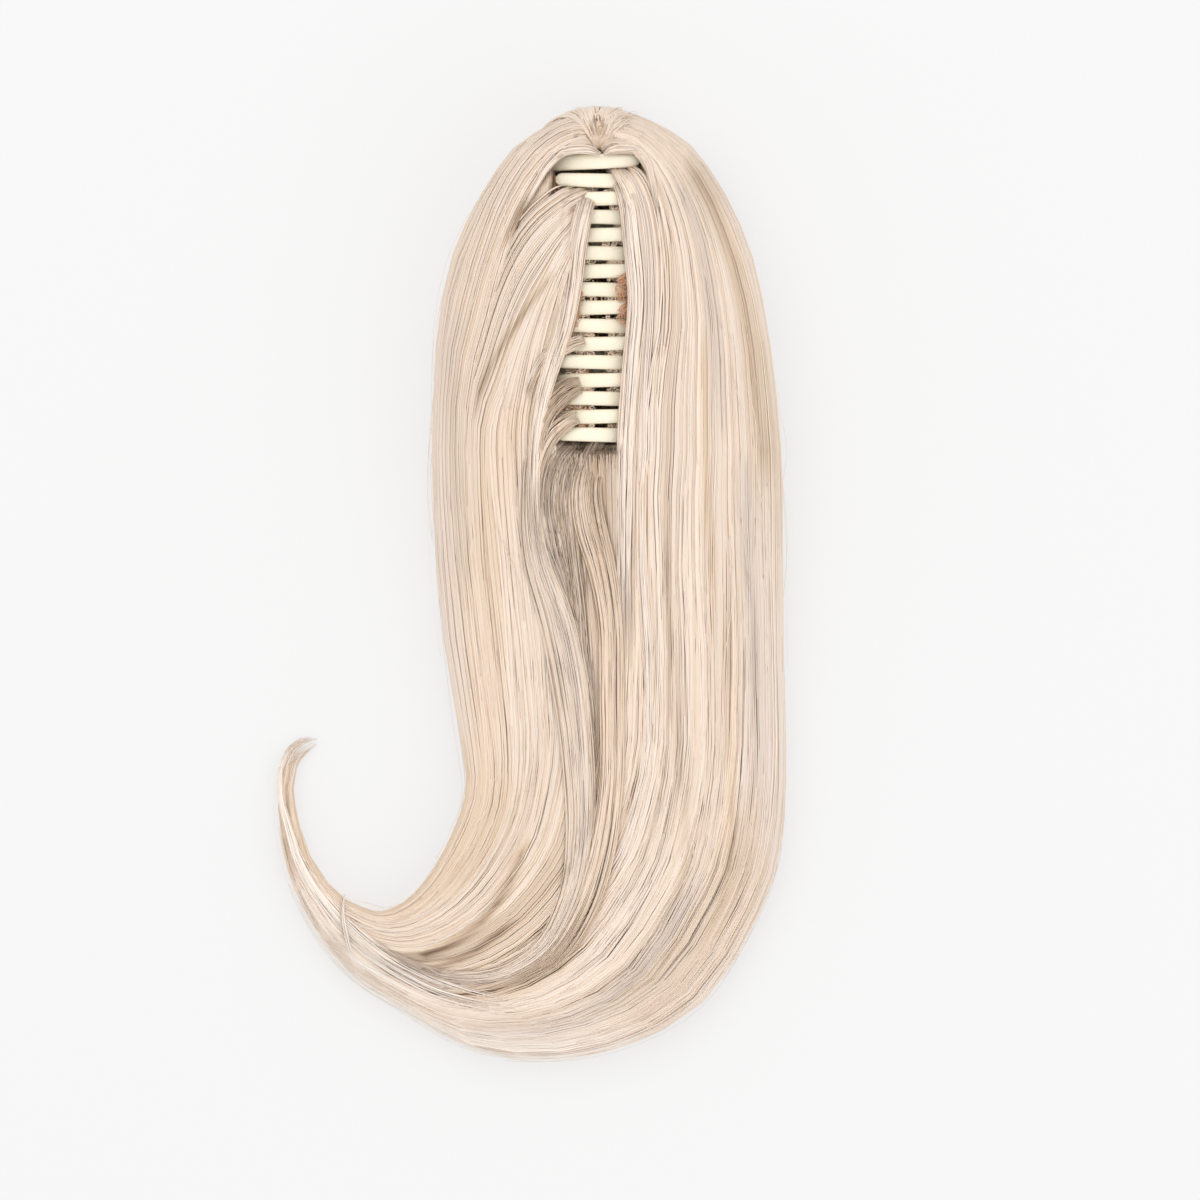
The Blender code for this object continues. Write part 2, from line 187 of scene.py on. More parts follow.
Panel = namedtuple("Panel", "name place side power")
PANELS = (
    Panel("key_panel", (-0.35, 0.75, 1.9), 1.6, 13.0),
    Panel("fill_panel", (1.0, -0.6, 1.6), 1.6, 6.0),
)
for panel in PANELS:
    light = bpy.data.lights.new(panel.name, "AREA")
    light.size = panel.side
    light.energy = panel.power
    lamp = bpy.data.objects.new(panel.name, light)
    lamp.location = panel.place
    direction = -lamp.location.normalized()
    lamp.rotation_euler = direction.to_track_quat("-Z", "Y").to_euler()
    bpy.context.scene.collection.objects.link(lamp)
print("lights:", [panel.name for panel in PANELS])

# %% [markdown]
# ## How the hair flows
# The same cuts that shape the CAD masses steer the strands. A place on the hair has two
# numbers: how far along the hair it is, counted in cuts, and its lane across the hair.
# Lane -1 is the seam between the masses, 0 the crest beside the claw, 1 the outline,
# and 2 the edge of the flat underside.

# %% The cuts of the hair
HairStation = namedtuple(
    "HairStation",
    "seam_x seam_y left_x left_y right_x right_y crown side valley under left_edge right_edge",
)
HAIR_STATIONS = (
    HairStation(25.3, 184.2, 21.4, 183.9, 30.2, 184.0, 37, 30, 36, 17, 1.0, 1.0),
    HairStation(25.3, 182.4, 14.7, 181.2, 37.6, 181.8, 46, 29, 42, 9, 2.5, 2.5),
    HairStation(25.3, 178.4, 6.2, 177.2, 49.2, 177.0, 56, 28, 48, 3.5, 5.0, 5.0),
    HairStation(25.3, 173.4, -0.8, 172.6, 56.7, 172.4, 62, 27, 55, 0.8, 8.0, 8.0),
    HairStation(25.3, 168.6, -8.2, 166.9, 62.8, 167.2, 65.5, 27, 61, 0, 16.0, 16.8),
    HairStation(25.3, 152.1, -19.5, 150.4, 73.4, 152.1, 67.5, 26, 55, 0, 14.5, 13.0),
    HairStation(25.3, 128.9, -30.3, 127.8, 84.0, 128.9, 68.5, 25, 55, 0, 13.5, 11.5),
    HairStation(25.3, 101.9, -36.1, 101.1, 90.2, 101.9, 68, 24, 55, 0, 14.5, 11.5),
    HairStation(25.3, 74.9, -37.8, 74.5, 93.8, 74.9, 67, 23, 53, 0, 16.0, 11.5),
    HairStation(25.3, 51.2, -38.6, 50.4, 95.9, 51.0, 65, 22, 51, 0, 16.0, 11.0),
    HairStation(26.2, 24.7, -37.8, 26.6, 96.5, 24.7, 57, 19, 46, 0, 15.0, 8.0),
    HairStation(29.2, -16.2, -35.3, -11.5, 96.7, -17.2, 47, 17, 40, 0, 13.0, 7.0),
    HairStation(28.9, -60.1, -28.7, -53.3, 97.8, -63.0, 41, 15, 36, 0, 11.0, 6.0),
    HairStation(22.4, -89.2, -25.1, -77.6, 96.5, -95.0, 37, 14, 34, 0, 10.0, 6.0),
    HairStation(14.6, -108.5, -29.7, -94.2, 89.8, -122.0, 35, 13, 32, 0, 9.0, 6.0),
    HairStation(-2.8, -130.0, -37.6, -109.6, 65.6, -161.8, 32, 12, 29, 0, 8.0, 6.0),
    HairStation(-23.9, -143.0, -46.9, -121.2, 26.2, -181.0, 29, 11, 26, 0, 7.0, 6.0),
    HairStation(-45.2, -146.5, -57.0, -126.8, -16.2, -181.6, 26, 10, 23, 0, 5.0, 5.0),
    HairStation(-64.6, -141.5, -66.0, -125.3, -50.0, -164.4, 22, 9, 18, 0, 4.0, 4.0),
    HairStation(-78.4, -130.6, -76.4, -119.2, -74.6, -146.3, 18, 7, 15, 0, 3.0, 3.0),
    HairStation(-89.6, -110.6, -86.5, -104.6, -92.6, -117.0, 13, 6, 11.5, 0, 2.0, 2.0),
    HairStation(-95.2, -85.2, -92.4, -83.6, -98.4, -86.8, 9, 4.5, 8, 0, 1.2, 1.2),
    HairStation(-93.6, -69.3, -91.0, -70.6, -96.8, -67.4, 6, 3, 5.5, 0, 1.0, 1.0),
    HairStation(-88.6, -62.6, -86.6, -65.0, -91.0, -60.2, 4.5, 2.2, 4, 0, 0.8, 0.8),
    HairStation(-82.6, -60.2, -82.2, -61.6, -83.4, -58.6, 3, 1.5, 2.7, 0, 0.5, 0.5),
)
LAST_CUT = len(HAIR_STATIONS) - 1
HOLLOW_START, HOLLOW_END = 4.08, 8.94
SIDE_ROUNDING = 0.30
TOP_POWER = 2.4
WIDEST_EDGE_SHARE = 0.35
STRAIGHT_COLUMNS = ("valley", "under")
COLUMNS = {
    name: np.array([getattr(station, name) for station in HAIR_STATIONS], dtype=float)
    for name in HairStation._fields
}


def at_cut(name, cut):
    """A column of the table at any place along the hair, on a smooth curve through the cuts."""
    column = COLUMNS[name]
    index = np.clip(np.floor(cut).astype(int), 0, LAST_CUT - 1)
    share = cut - index
    b, c = column[index], column[index + 1]
    if name in STRAIGHT_COLUMNS:
        return b + (c - b) * share
    a, d = column[np.maximum(index - 1, 0)], column[np.minimum(index + 2, LAST_CUT)]
    linear = (c - a) * share
    square = (2 * a - 5 * b + 4 * c - d) * share**2
    cube = (3 * b - a - 3 * c + d) * share**3
    return 0.5 * (2 * b + linear + square + cube)


def smooth(share):
    share = np.clip(share, 0.0, 1.0)
    return share * share * (3 - 2 * share)


def unit(vectors):
    """The same directions with a length of one."""
    return vectors / np.maximum(np.linalg.norm(vectors, axis=-1, keepdims=True), 1e-9)


def cut_line(side, cut):
    """The seam at a cut, the way to the outline and how far it is, and where the crest lies on it."""
    name = SIDE_NAMES[side]
    seam = np.stack([at_cut("seam_x", cut), at_cut("seam_y", cut)], -1)
    outer = np.stack([at_cut(f"{name}_x", cut), at_cut(f"{name}_y", cut)], -1)
    width = np.linalg.norm(outer - seam, axis=-1)
    edge = at_cut(f"{name}_edge", cut)
    hollow = (cut >= HOLLOW_START) & (cut <= HOLLOW_END)
    edge = np.where(hollow, edge, np.minimum(edge, WIDEST_EDGE_SHARE * width))
    return seam, (outer - seam) / width[..., None], width, edge


def hair_surface(side, cut, lane):
    """The points of a hair mass at places along it and lanes across it, in millimetres."""
    seam, across_vector, width, edge = cut_line(side, cut)
    crown, widest, under = at_cut("crown", cut), at_cut("side", cut), at_cut("under", cut)
    across = np.sin(np.clip(lane, 0, 1) * np.pi / 2)
    height = np.maximum(1 - across**TOP_POWER, 0) ** (1 / TOP_POWER)
    distance = edge + (width - edge) * across
    z = widest + (crown - widest) * height
    slope = np.clip(-lane, 0, 1)
    distance = np.where(lane < 0, edge * (1 - slope), distance)
    z = np.where(lane < 0, crown + (at_cut("valley", cut) - crown) * smooth(slope), z)
    turn = np.clip(lane - 1, 0, 1) * np.pi / 2
    reach = 1 - SIDE_ROUNDING + SIDE_ROUNDING * np.cos(turn)
    distance = np.where(lane > 1, width * reach, distance)
    z = np.where(lane > 1, widest + (under - widest) * np.sin(turn), z)
    distance = np.where(lane > 2, width * (1 - SIDE_ROUNDING) * np.clip(3 - lane, 0, 1), distance)
    plan = seam + across_vector * distance[..., None]
    return np.concatenate([plan, z[..., None]], -1)


def hair_normal(side, cut, lane):
    """Which way the hair's surface faces."""
    step_cut, step_lane = 0.03, 0.012
    ahead = hair_surface(side, np.minimum(cut + step_cut, LAST_CUT), lane)
    behind = hair_surface(side, np.maximum(cut - step_cut, 0), lane)
    outward = hair_surface(side, cut, lane + step_lane)
    inward = hair_surface(side, cut, lane - step_lane)
    return unit(side * np.cross(ahead - behind, outward - inward))


def run_length(side):
    """How many millimetres of hair lie between the crown and each cut, along the middle lane."""
    cuts = np.linspace(0, LAST_CUT, 20 * LAST_CUT + 1)
    middle = hair_surface(side, cuts, np.full_like(cuts, 0.5))
    steps = np.linalg.norm(np.diff(middle, axis=0), axis=-1)
    return cuts, np.concatenate([[0.0], np.cumsum(steps)])


RUNS = {side: run_length(side) for side in (LEFT_SIDE, RIGHT_SIDE)}
print("hair length left, right:", [round(float(RUNS[side][1][-1])) for side in RUNS], "mm")

# %% [markdown]
# ## Hair colour
# The blonde is a mix: rosy beige, gold and silver strands lie side by side over a
# browner depth, which is painted shade between the strands. Each strand carries its tone,
# from dark to pale, with shade painted darker at its root and deep in its lock, and how
# ashen it is. Fine streaks run with the hair, from the lane and the length that it also carries.

# %% Hair finish
# The dark end of the ramp serves painted shade: at the roots, deep in the locks and in the shadow lines.
TONE_STOPS = [
    (0.0, colour("#6B4F3A")),
    (0.18, colour("#A98C73")),
    (0.38, colour("#D0B69C")),
    (0.55, colour("#E6CFB5")),
    (0.72, colour("#F3DFCC")),
    (0.88, colour("#FAEBDD")),
    (1.0, colour("#FDF5EC")),
]
ASH_STOPS = [
    (0.0, colour("#655447")),
    (0.3, colour("#AA998B")),
    (0.6, colour("#DBCCC0")),
    (1.0, colour("#F6ECE5")),
]
STREAKS_PER_MM = 1.3
STREAK_STRETCH = 0.012


def hair_finish(name, streak_strength, relief):
    hair = Finish(name, IOR=1.45, Specular_IOR_Level=0.35)
    tint = hair.node("ShaderNodeAttribute", {"attribute_name": "hair_tint"}, output=1)
    flow = hair.node("ShaderNodeAttribute", {"attribute_name": "hair_flow"}, output=1)
    tone = hair.node("ShaderNodeSeparateXYZ", None, {0: tint}, 0)
    ash = hair.node("ShaderNodeSeparateXYZ", None, {0: tint}, 1)
    grain_place = hair.node(
        "ShaderNodeVectorMath",
        {"operation": "MULTIPLY"},
        {0: flow, 1: (STREAKS_PER_MM, STREAK_STRETCH, 1.0)},
    )
    streak = hair.node("ShaderNodeTexNoise", None, {"Vector": grain_place, "Scale": 1.0, "Detail": 4.0})
    tone = tone + (streak - 0.5) * streak_strength
    warm = hair.node("ShaderNodeValToRGB", {"stops": TONE_STOPS}, {0: tone})
    silver = hair.node("ShaderNodeValToRGB", {"stops": ASH_STOPS}, {0: tone})
    mixed = hair.node("ShaderNodeMix", {"data_type": "RGBA"}, {0: ash, 6: warm, 7: silver}, 2)
    bump = hair.node("ShaderNodeBump", None, {"Strength": relief, "Distance": 0.0006, "Height": streak})
    return hair.feed(Base_Color=mixed, Roughness=0.34 + streak * 0.22, Normal=bump)


strand_finish = hair_finish("ash_blonde_strands", 0.16, 0.15)
core_finish = hair_finish("ash_blonde_depth", 0.75, 0.9)

# %% [markdown]
# ## Hair that lies beneath
# Under the loose strands each mass has a body of packed hair. It is lofted from closed
# cuts, a little inside the CAD mass, and hollow round the claw as that is.

# %% Mesh from arrays


def array_piece(name, points, corners, starts, attributes, uv, finish, body):
    """A smooth object from arrays: points in millimetres, the point of each face corner, the first
    corner of each face, and the attributes and the texture place of each point."""
    mesh = bpy.data.meshes.new(name)
    mesh.vertices.add(len(points))
    mesh.vertices.foreach_set("co", (points * MM).ravel())
    mesh.loops.add(len(corners))
    mesh.loops.foreach_set("vertex_index", corners.astype(np.int32))
    mesh.polygons.add(len(starts))
    mesh.polygons.foreach_set("loop_start", starts.astype(np.int32))
    mesh.update(calc_edges=True)
    mesh.shade_smooth()
    for label, values in attributes.items():
        layer = mesh.attributes.new(label, "FLOAT_VECTOR", "POINT")
        layer.data.foreach_set("vector", values.astype(np.float32).ravel())
    layer = mesh.uv_layers.new(name="OFBake")
    layer.uv.foreach_set("vector", uv[corners].astype(np.float32).ravel())
    mesh.materials.append(finish)
    piece = bpy.data.objects.new(name, mesh)
    bpy.context.scene.collection.objects.link(piece)
    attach(piece, body)
    return piece


def select_only(thing):
    bpy.ops.object.select_all(action="DESELECT")
    thing.select_set(True)
    bpy.context.view_layer.objects.active = thing


def loft_faces(rows, columns):
    """Quads of a skin over rows of points that are rings, and its two end caps."""
    row, column = np.meshgrid(np.arange(rows - 1), np.arange(columns), indexing="ij")
    following = (column + 1) % columns
    quads = np.stack(
        [
            row * columns + column,
            (row + 1) * columns + column,
            (row + 1) * columns + following,
            row * columns + following,
        ],
        -1,
    ).reshape(-1, 4)
    first = np.arange(columns)
    last = (rows - 1) * columns + np.arange(columns)[::-1]
    return [*quads, first, last]


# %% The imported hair
HINGE = (25.3, 109.9, 31.0)
HOLLOW_FLOOR = 3.0
SEAM_GAP = -0.1
CORE_DEPTH = 1.5
CORE_END = 21.0
CORE_INNER_LANE = 0.10
FIRST_SQUEEZE = 0.965
HollowPoint = namedtuple("HollowPoint", "angle radius")
HOLLOW_WALL = (
    HollowPoint(151.0, 32.0),
    HollowPoint(132.0, 32.0),
    HollowPoint(112.0, 32.0),
    HollowPoint(92.0, 32.0),
    HollowPoint(75.0, 32.4),
    HollowPoint(58.0, 32.5),
    HollowPoint(42.0, 33.2),
    HollowPoint(30.0, 34.7),
)
CORE_CUTS = np.concatenate(
    [
        np.linspace(0, 4, 17),
        np.linspace(HOLLOW_START, HOLLOW_END, 36),
        np.linspace(9, CORE_END, 84),
    ]
)
CORE_LANES = np.concatenate([np.linspace(0, 1, 61), np.linspace(1, 2, 16)[1:], [3.0]])
CREST_LANES = np.linspace(-1, 0, len(HOLLOW_WALL) + 1)[:-1]


def core_points(side):
    """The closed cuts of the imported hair, one row for each cut."""
    rows = []
    for cut in CORE_CUTS:
        cuts = np.full_like(CORE_LANES, cut)
        crown = at_cut("crown", np.array(cut))
        depth = CORE_DEPTH * np.clip(crown / 24, 0.12, 1)
        beside_claw = HOLLOW_START <= cut <= HOLLOW_END
        lanes = CORE_LANES
        if beside_claw:
            lanes = np.where(lanes < 1, CORE_INNER_LANE + (1 - CORE_INNER_LANE) * lanes, lanes)
        outside = hair_surface(side, cuts, lanes)
        outside[:-1] -= hair_normal(side, cuts, lanes)[:-1] * depth
        outside[:, 2] = np.maximum(outside[:, 2], at_cut("under", cuts))
        outside[-1, 0] += side * SEAM_GAP
        seam_x, seam_y = at_cut("seam_x", np.array(cut)), at_cut("seam_y", np.array(cut))
        if beside_claw:
            squeeze = FIRST_SQUEEZE if cut == HOLLOW_START else 1.0
            wall = [(HINGE[0] + side * SEAM_GAP, seam_y, HOLLOW_FLOOR)]
            for point in HOLLOW_WALL:
                turn = math.radians(point.angle)
                x = HINGE[0] + side * squeeze * point.radius * math.sin(turn)
                wall.append((x, seam_y, HINGE[2] + point.radius * math.cos(turn)))
        else:
            crest = hair_surface(side, np.full_like(CREST_LANES, cut), CREST_LANES)
            crest -= hair_normal(side, np.full_like(CREST_LANES, cut), CREST_LANES) * depth
            crest[0] = (seam_x + side * SEAM_GAP, seam_y, crest[0][2])
            foot = (seam_x + side * SEAM_GAP, seam_y, (at_cut("under", np.array(cut)) + crest[0][2]) / 2)
            wall = [foot, *crest]
        rows.append(np.concatenate([outside, np.array(wall)]))
    return np.array(rows)


# %% [markdown]
# ## Streaks of colour and painted shadow lines
# The photograph shows where the blonde turns gold, silver or brown, and where a lock casts
# a line of shadow, which is painted in as shade. Each of these streaks is a line over the
# picture, in its pixels. A strand that runs near the line takes on some of its tone: the
# hair's own colour from a streak of colour, painted shade from a shadow line. This keeps the
# hair lively without an image texture.

# %% Streaks
PICTURE_ORIGIN = (532, 584)
# Half a streak's width in pixels, what it adds to the tone and the ash, and its line
Streak = namedtuple("Streak", "half_width tone ash line")


def from_picture(line):
    """Turns places in the picture's pixels into millimetres on the floor."""
    line = np.array(line, dtype=float)
    x = (line[:, 0] - PICTURE_ORIGIN[0]) * MM_PER_PIXEL
    y = (PICTURE_ORIGIN[1] - line[:, 1]) * MM_PER_PIXEL
    return np.stack([x, y], -1)


STREAKS_AND_SHADOW_LINES = (
    Streak(17, 0.09, -0.10, [
        (640, 170), (645, 500), (645, 700), (638, 820), (610, 920), (565, 985), (490, 1005),
    ]),
    Streak(12, 0.09, -0.10, [(490, 1005), (420, 990), (360, 955)]),
    Streak(3.0, -0.16, 0.10, [
        (640, 160), (656, 180), (668, 210), (671, 300), (668, 400), (666, 520), (667, 640),
    ]),
    Streak(3.5, -0.20, 0.20, [(667, 560), (672, 700), (684, 800), (686, 860), (670, 930)]),
    Streak(8.0, -0.30, 0.05, [(690, 165), (712, 205), (735, 265), (750, 330), (757, 400), (765, 460)]),
    Streak(11, -0.10, 0.45, [(680, 185), (700, 240), (712, 300), (722, 400)]),
    Streak(3.5, -0.17, -0.30, [
        (702, 340), (704, 460), (712, 560), (724, 650), (730, 760), (733, 860), (715, 930),
    ]),
    Streak(12, -0.05, 0.50, [(745, 500), (752, 600), (758, 700), (760, 800)]),
    Streak(4.0, -0.15, 0.30, [(742, 560), (753, 640), (759, 700)]),
    Streak(9.0, 0.06, 0.30, [(776, 600), (778, 760), (768, 860)]),
    Streak(4.0, -0.12, 0.00, [(760, 330), (774, 420), (781, 520)]),
    # Painted shadow lines: under the first tooth's left end, and between the outer and inner layers on the
    # left
    Streak(3.5, -0.50, 0.00, [(560, 163), (549, 172), (534, 190), (519, 212), (508, 240)]),
    Streak(3.5, -0.36, 0.00, [(550, 278), (528, 308), (506, 340), (488, 372), (478, 398)]),
    Streak(22, -0.05, -0.40, [
        (515, 420), (497, 480), (488, 560), (492, 640), (490, 720), (470, 790), (440, 850),
    ]),
    Streak(8.0, 0.05, 0.60, [
        (531, 440), (528, 500), (535, 570), (550, 640), (565, 700), (575, 780), (580, 860),
    ]),
    Streak(8.0, 0.00, 0.50, [(580, 860), (560, 930), (520, 970), (470, 982), (410, 970)]),
    Streak(8.0, -0.06, 0.35, [(450, 330), (455, 450), (462, 560)]),
    Streak(8.0, 0.06, 0.10, [(440, 450), (442, 600), (460, 720)]),
    Streak(28, -0.13, -0.25, [(500, 800), (462, 868), (400, 903), (345, 888), (312, 858)]),
    Streak(4.5, -0.45, 0.00, [(519, 858), (506, 890), (486, 920), (455, 943), (425, 955)]),
    Streak(4.0, -0.35, 0.00, [(505, 928), (475, 953), (430, 972)]),
    Streak(13, -0.28, 0.00, [(598, 885), (580, 930), (550, 968), (510, 988), (470, 990)]),
    Streak(11, -0.05, 0.50, [(690, 900), (650, 960), (600, 1010), (540, 1035), (480, 1033)]),
    Streak(18, 0.17, 0.00, [(620, 1042), (540, 1056), (470, 1045), (400, 1005), (340, 950), (300, 890)]),
    # A painted shadow beside the teeth
    Streak(6.0, -0.50, 0.00, [(546, 390), (555, 381), (566, 377)]),
    Streak(26, -0.15, 0.10, [(748, 830), (728, 890), (690, 945), (640, 995)]),
    Streak(30, -0.07, 0.12, [(480, 190), (540, 130), (600, 112), (660, 130), (720, 190)]),
    Streak(12, -0.04, -0.30, [(302, 855), (287, 812), (282, 780)]),
    Streak(16, 0.14, -0.10, [(282, 768), (288, 752), (318, 740)]),
    Streak(34, -0.075, 0.00, [(478, 250), (465, 400), (470, 600)]),
)


def streak_and_shadow_tint(points):
    """How much the streaks and the painted shadow lines change the tone and the ash of hair at these points.
    """
    tone, ash = np.zeros(points.shape[:-1]), np.zeros(points.shape[:-1])
    for streak in STREAKS_AND_SHADOW_LINES:
        line = from_picture(streak.line)
        nearest = np.full(points.shape[:-1], np.inf)
        for start, end in zip(line[:-1], line[1:]):
            run = end - start
            share = np.clip(((points[..., :2] - start) @ run) / (run @ run), 0, 1)
            away = points[..., :2] - start - share[..., None] * run
            nearest = np.minimum(nearest, np.linalg.norm(away, axis=-1))
        near = np.exp(-((nearest / (streak.half_width * MM_PER_PIXEL)) ** 2))
        tone += near * streak.tone
        ash += near * streak.ash
    return tone, ash


# %% [markdown]
# ## The skin under the strands
# Each mass is skinned from its closed cuts, as a loft, and its faces are turned outwards. Its
# tone is darker than the strands', as painted shade between them. It takes the streaks too,
# so that no strange colour shows between two strands.

# %% Skin the imported hair
# The packed hair's tone is set below the strands' to paint the shade that lies between them.
CORE_SHADED_TONE, CORE_ASH = 0.58, 0.25
MM_PER_LANE = 60
SEAM_FOOT_LANE = -1.2
UNROLLED_LANES = 4.5


def make_core(name, side, node):
    points = core_points(side)
    rows, columns = points.shape[:2]
    lanes = np.concatenate([CORE_LANES, [SEAM_FOOT_LANE], CREST_LANES])
    cut = np.repeat(CORE_CUTS[:, None], columns, 1)
    lane = np.repeat(lanes[None, :], rows, 0)
    length = np.interp(cut, *RUNS[side])
    tone, ash = streak_and_shadow_tint(points)
    tint = np.stack([CORE_SHADED_TONE + tone, np.clip(CORE_ASH + ash, 0, 1), np.zeros_like(tone)], -1)
    flow = np.stack([lane * MM_PER_LANE, length, np.zeros_like(lane)], -1)
    uv = np.stack([np.clip((lane - SEAM_FOOT_LANE + 0.1) / UNROLLED_LANES, 0, 1), cut / LAST_CUT], -1)
    faces = loft_faces(rows, columns)
    starts = np.concatenate([[0], np.cumsum([len(face) for face in faces])[:-1]])
    core = array_piece(
        name,
        points.reshape(-1, 3),
        np.concatenate(faces),
        starts,
        {"hair_tint": tint, "hair_flow": flow},
        uv.reshape(-1, 2),
        core_finish,
        ROOT_BODY,
    )
    select_only(core)
    bpy.ops.object.mode_set(mode="EDIT")
    bpy.ops.mesh.select_all(action="SELECT")
    bpy.ops.mesh.normals_make_consistent(inside=False)
    bpy.ops.object.mode_set(mode="OBJECT")
    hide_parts(node)
    return core


left_core = make_core("left_hair_core", LEFT_SIDE, "left_hair")
right_core = make_core("right_hair_core", RIGHT_SIDE, "right_hair")
print("packed hair:", len(left_core.data.polygons), len(right_core.data.polygons), "faces")

# %% [markdown]
# ## Strands
# A strand is a thin tube with three corners, flat side down, that narrows at both ends.
# A whole batch is made at once from arrays: its paths, which way the hair faces along
# them, and its widths. Each strand has its own column in the texture map.

# %% Strand tubes
STRAND_CORNERS = np.array([(-1.0, -0.30), (0.0, 0.70), (1.0, -0.30)])
COLUMN_PLACES = np.array([0.3, 0.5, 0.7])
THINNEST = 0.02
LOWEST = 0.05
TIP_THINNING = 0.9
DARKEST_TONE = 0.02


def strand_piece(
    name, paths, normals, widths, tint, lane, finish=strand_finish, body=ROOT_BODY, slot=HAIR_SLOT
):
    """One object of many strands. paths and normals are strands x steps x 3, widths strands x steps."""
    strands, steps = paths.shape[:2]
    along = unit(np.gradient(paths, axis=1))
    across = unit(np.cross(along, normals))
    upward = np.cross(across, along)
    half = np.maximum(widths, THINNEST)[..., None, None] / 2
    corners = (
        paths[:, :, None, :]
        + across[:, :, None, :] * STRAND_CORNERS[None, None, :, :1] * half
        + upward[:, :, None, :] * STRAND_CORNERS[None, None, :, 1:] * half
    )
    points = corners.reshape(-1, 3)
    points[:, 2] = np.maximum(points[:, 2], LOWEST)

    start = (np.arange(strands) * steps * 3)[:, None, None]
    step = (np.arange(steps - 1) * 3)[None, :, None]
    corner = np.arange(3)[None, None, :]
    following = (corner + 1) % 3
    near, far = start + step, start + step + 3
    quads = np.stack([near + corner, near + following, far + following, far + corner], -1).reshape(-1, 4)
    roots = start[:, 0, 0][:, None] + np.array([2, 1, 0])[None, :]
    tips = start[:, 0, 0][:, None] + (steps - 1) * 3 + np.array([0, 1, 2])[None, :]
    loops = np.concatenate([quads.ravel(), roots.ravel(), tips.ravel()])

    quad_starts = np.arange(len(quads)) * 4
    cap_starts = len(quads) * 4 + np.arange(2 * strands) * 3

    share = np.linspace(0, 1, steps)
    tint3 = np.concatenate([tint, np.broadcast_to(share, (strands, steps))[..., None]], -1)
    length = np.concatenate(
        [np.zeros((strands, 1)), np.cumsum(np.linalg.norm(np.diff(paths, axis=1), axis=-1), axis=1)], 1
    )
    flow = np.stack([np.broadcast_to(lane[:, None], (strands, steps)), length, np.zeros_like(length)], -1)
    column = (np.arange(strands)[:, None, None] + COLUMN_PLACES[None, None, :]) / strands
    uv = np.stack(np.broadcast_arrays(column, share[None, :, None]), -1).reshape(-1, 2)
    piece = array_piece(
        name,
        points,
        loops,
        np.concatenate([quad_starts, cap_starts]),
        {"hair_tint": np.repeat(tint3, 3, axis=1), "hair_flow": np.repeat(flow, 3, axis=1)},
        uv,
        finish,
        body,
    )
    triangles = 2 * len(quads) + 2 * strands
    print(f"{name}: {strands} strands, {triangles} triangles")
    return piece


def spread_widths(rng, strands, range_mm):
    """A width for each strand, spread evenly as ratios."""
    return np.exp(rng.uniform(math.log(range_mm[0]), math.log(range_mm[1]), strands))[:, None]


def strand_widths(rng, strands, range_mm, along, root, root_share, taper_start):
    """Widths of strands that start at a share of their width and thin out towards the tip."""
    width = spread_widths(rng, strands, range_mm) * (root + (1 - root) * smooth(along / root_share))
    return width * (1 - TIP_THINNING * smooth((along - taper_start) / (1 - taper_start)))


def strand_tint(tone, ash):
    """The tint attribute of strands, from their tone and how ashen they are."""
    tones = np.clip(tone, DARKEST_TONE, 1)
    return np.stack(np.broadcast_arrays(tones, np.clip(ash, 0, 1)), -1)


# %% [markdown]
# ## Guides over the crown and from under the claw
# The hair springs from two places. Most of it starts at the parting above the first tooth,
# arches over the crown and falls along the outline. The rest comes out from under the
# teeth and sweeps down beside the claw. A handful of guide lines, drawn over the picture in
# its pixels, show both; every strand takes a line between its two nearest guides.

# %% Guide lines
Guide = namedtuple("Guide", "end_share line")
CROWN_GUIDES = {
    LEFT_SIDE: (
        Guide(0.70, [
            (601, 156), (590, 152), (576, 151), (560, 155), (547, 168), (534, 189), (520, 215), (508, 248),
            (498, 286), (487, 336), (475, 392), (468, 450),
        ]),
        Guide(0.77, [
            (601, 151), (590, 142), (574, 144), (557, 155), (540, 174), (524, 198), (509, 230), (497, 262),
            (486, 298), (476, 345), (465, 398), (460, 450),
        ]),
        Guide(0.88, [
            (601, 145), (592, 130), (577, 124), (558, 129), (537, 143), (517, 166), (499, 197), (485, 234),
            (472, 275), (460, 327), (450, 390), (447, 450),
        ]),
        Guide(1.0, [
            (599, 137), (592, 118), (577, 111), (557, 118), (533, 132), (508, 154), (486, 187), (468, 224),
            (452, 264), (440, 320), (434, 390), (432, 450),
        ]),
    ),
    RIGHT_SIDE: (
        Guide(0.12, [
            (602, 156), (611, 151), (623, 150), (637, 153), (647, 163), (653, 184), (658, 216), (661, 256),
            (661, 303), (657, 352), (650, 402), (643, 450),
        ]),
        Guide(0.22, [
            (602, 152), (609, 143), (622, 143), (636, 154), (648, 172), (658, 197), (666, 226), (671, 262),
            (672, 305), (670, 352), (664, 402), (660, 450),
        ]),
        Guide(0.555, [
            (602, 149), (609, 136), (623, 132), (641, 140), (659, 157), (675, 181), (688, 212), (699, 248),
            (706, 292), (711, 342), (713, 396), (712, 450),
        ]),
        Guide(0.865, [
            (603, 145), (610, 128), (625, 121), (645, 127), (666, 141), (687, 162), (706, 192), (723, 230),
            (738, 275), (750, 330), (757, 390), (760, 450),
        ]),
        Guide(1.0, [
            (603, 138), (609, 119), (621, 111), (643, 117), (666, 129), (691, 150), (716, 184), (737, 225),
            (753, 270), (766, 325), (776, 390), (780, 450),
        ]),
    ),
}
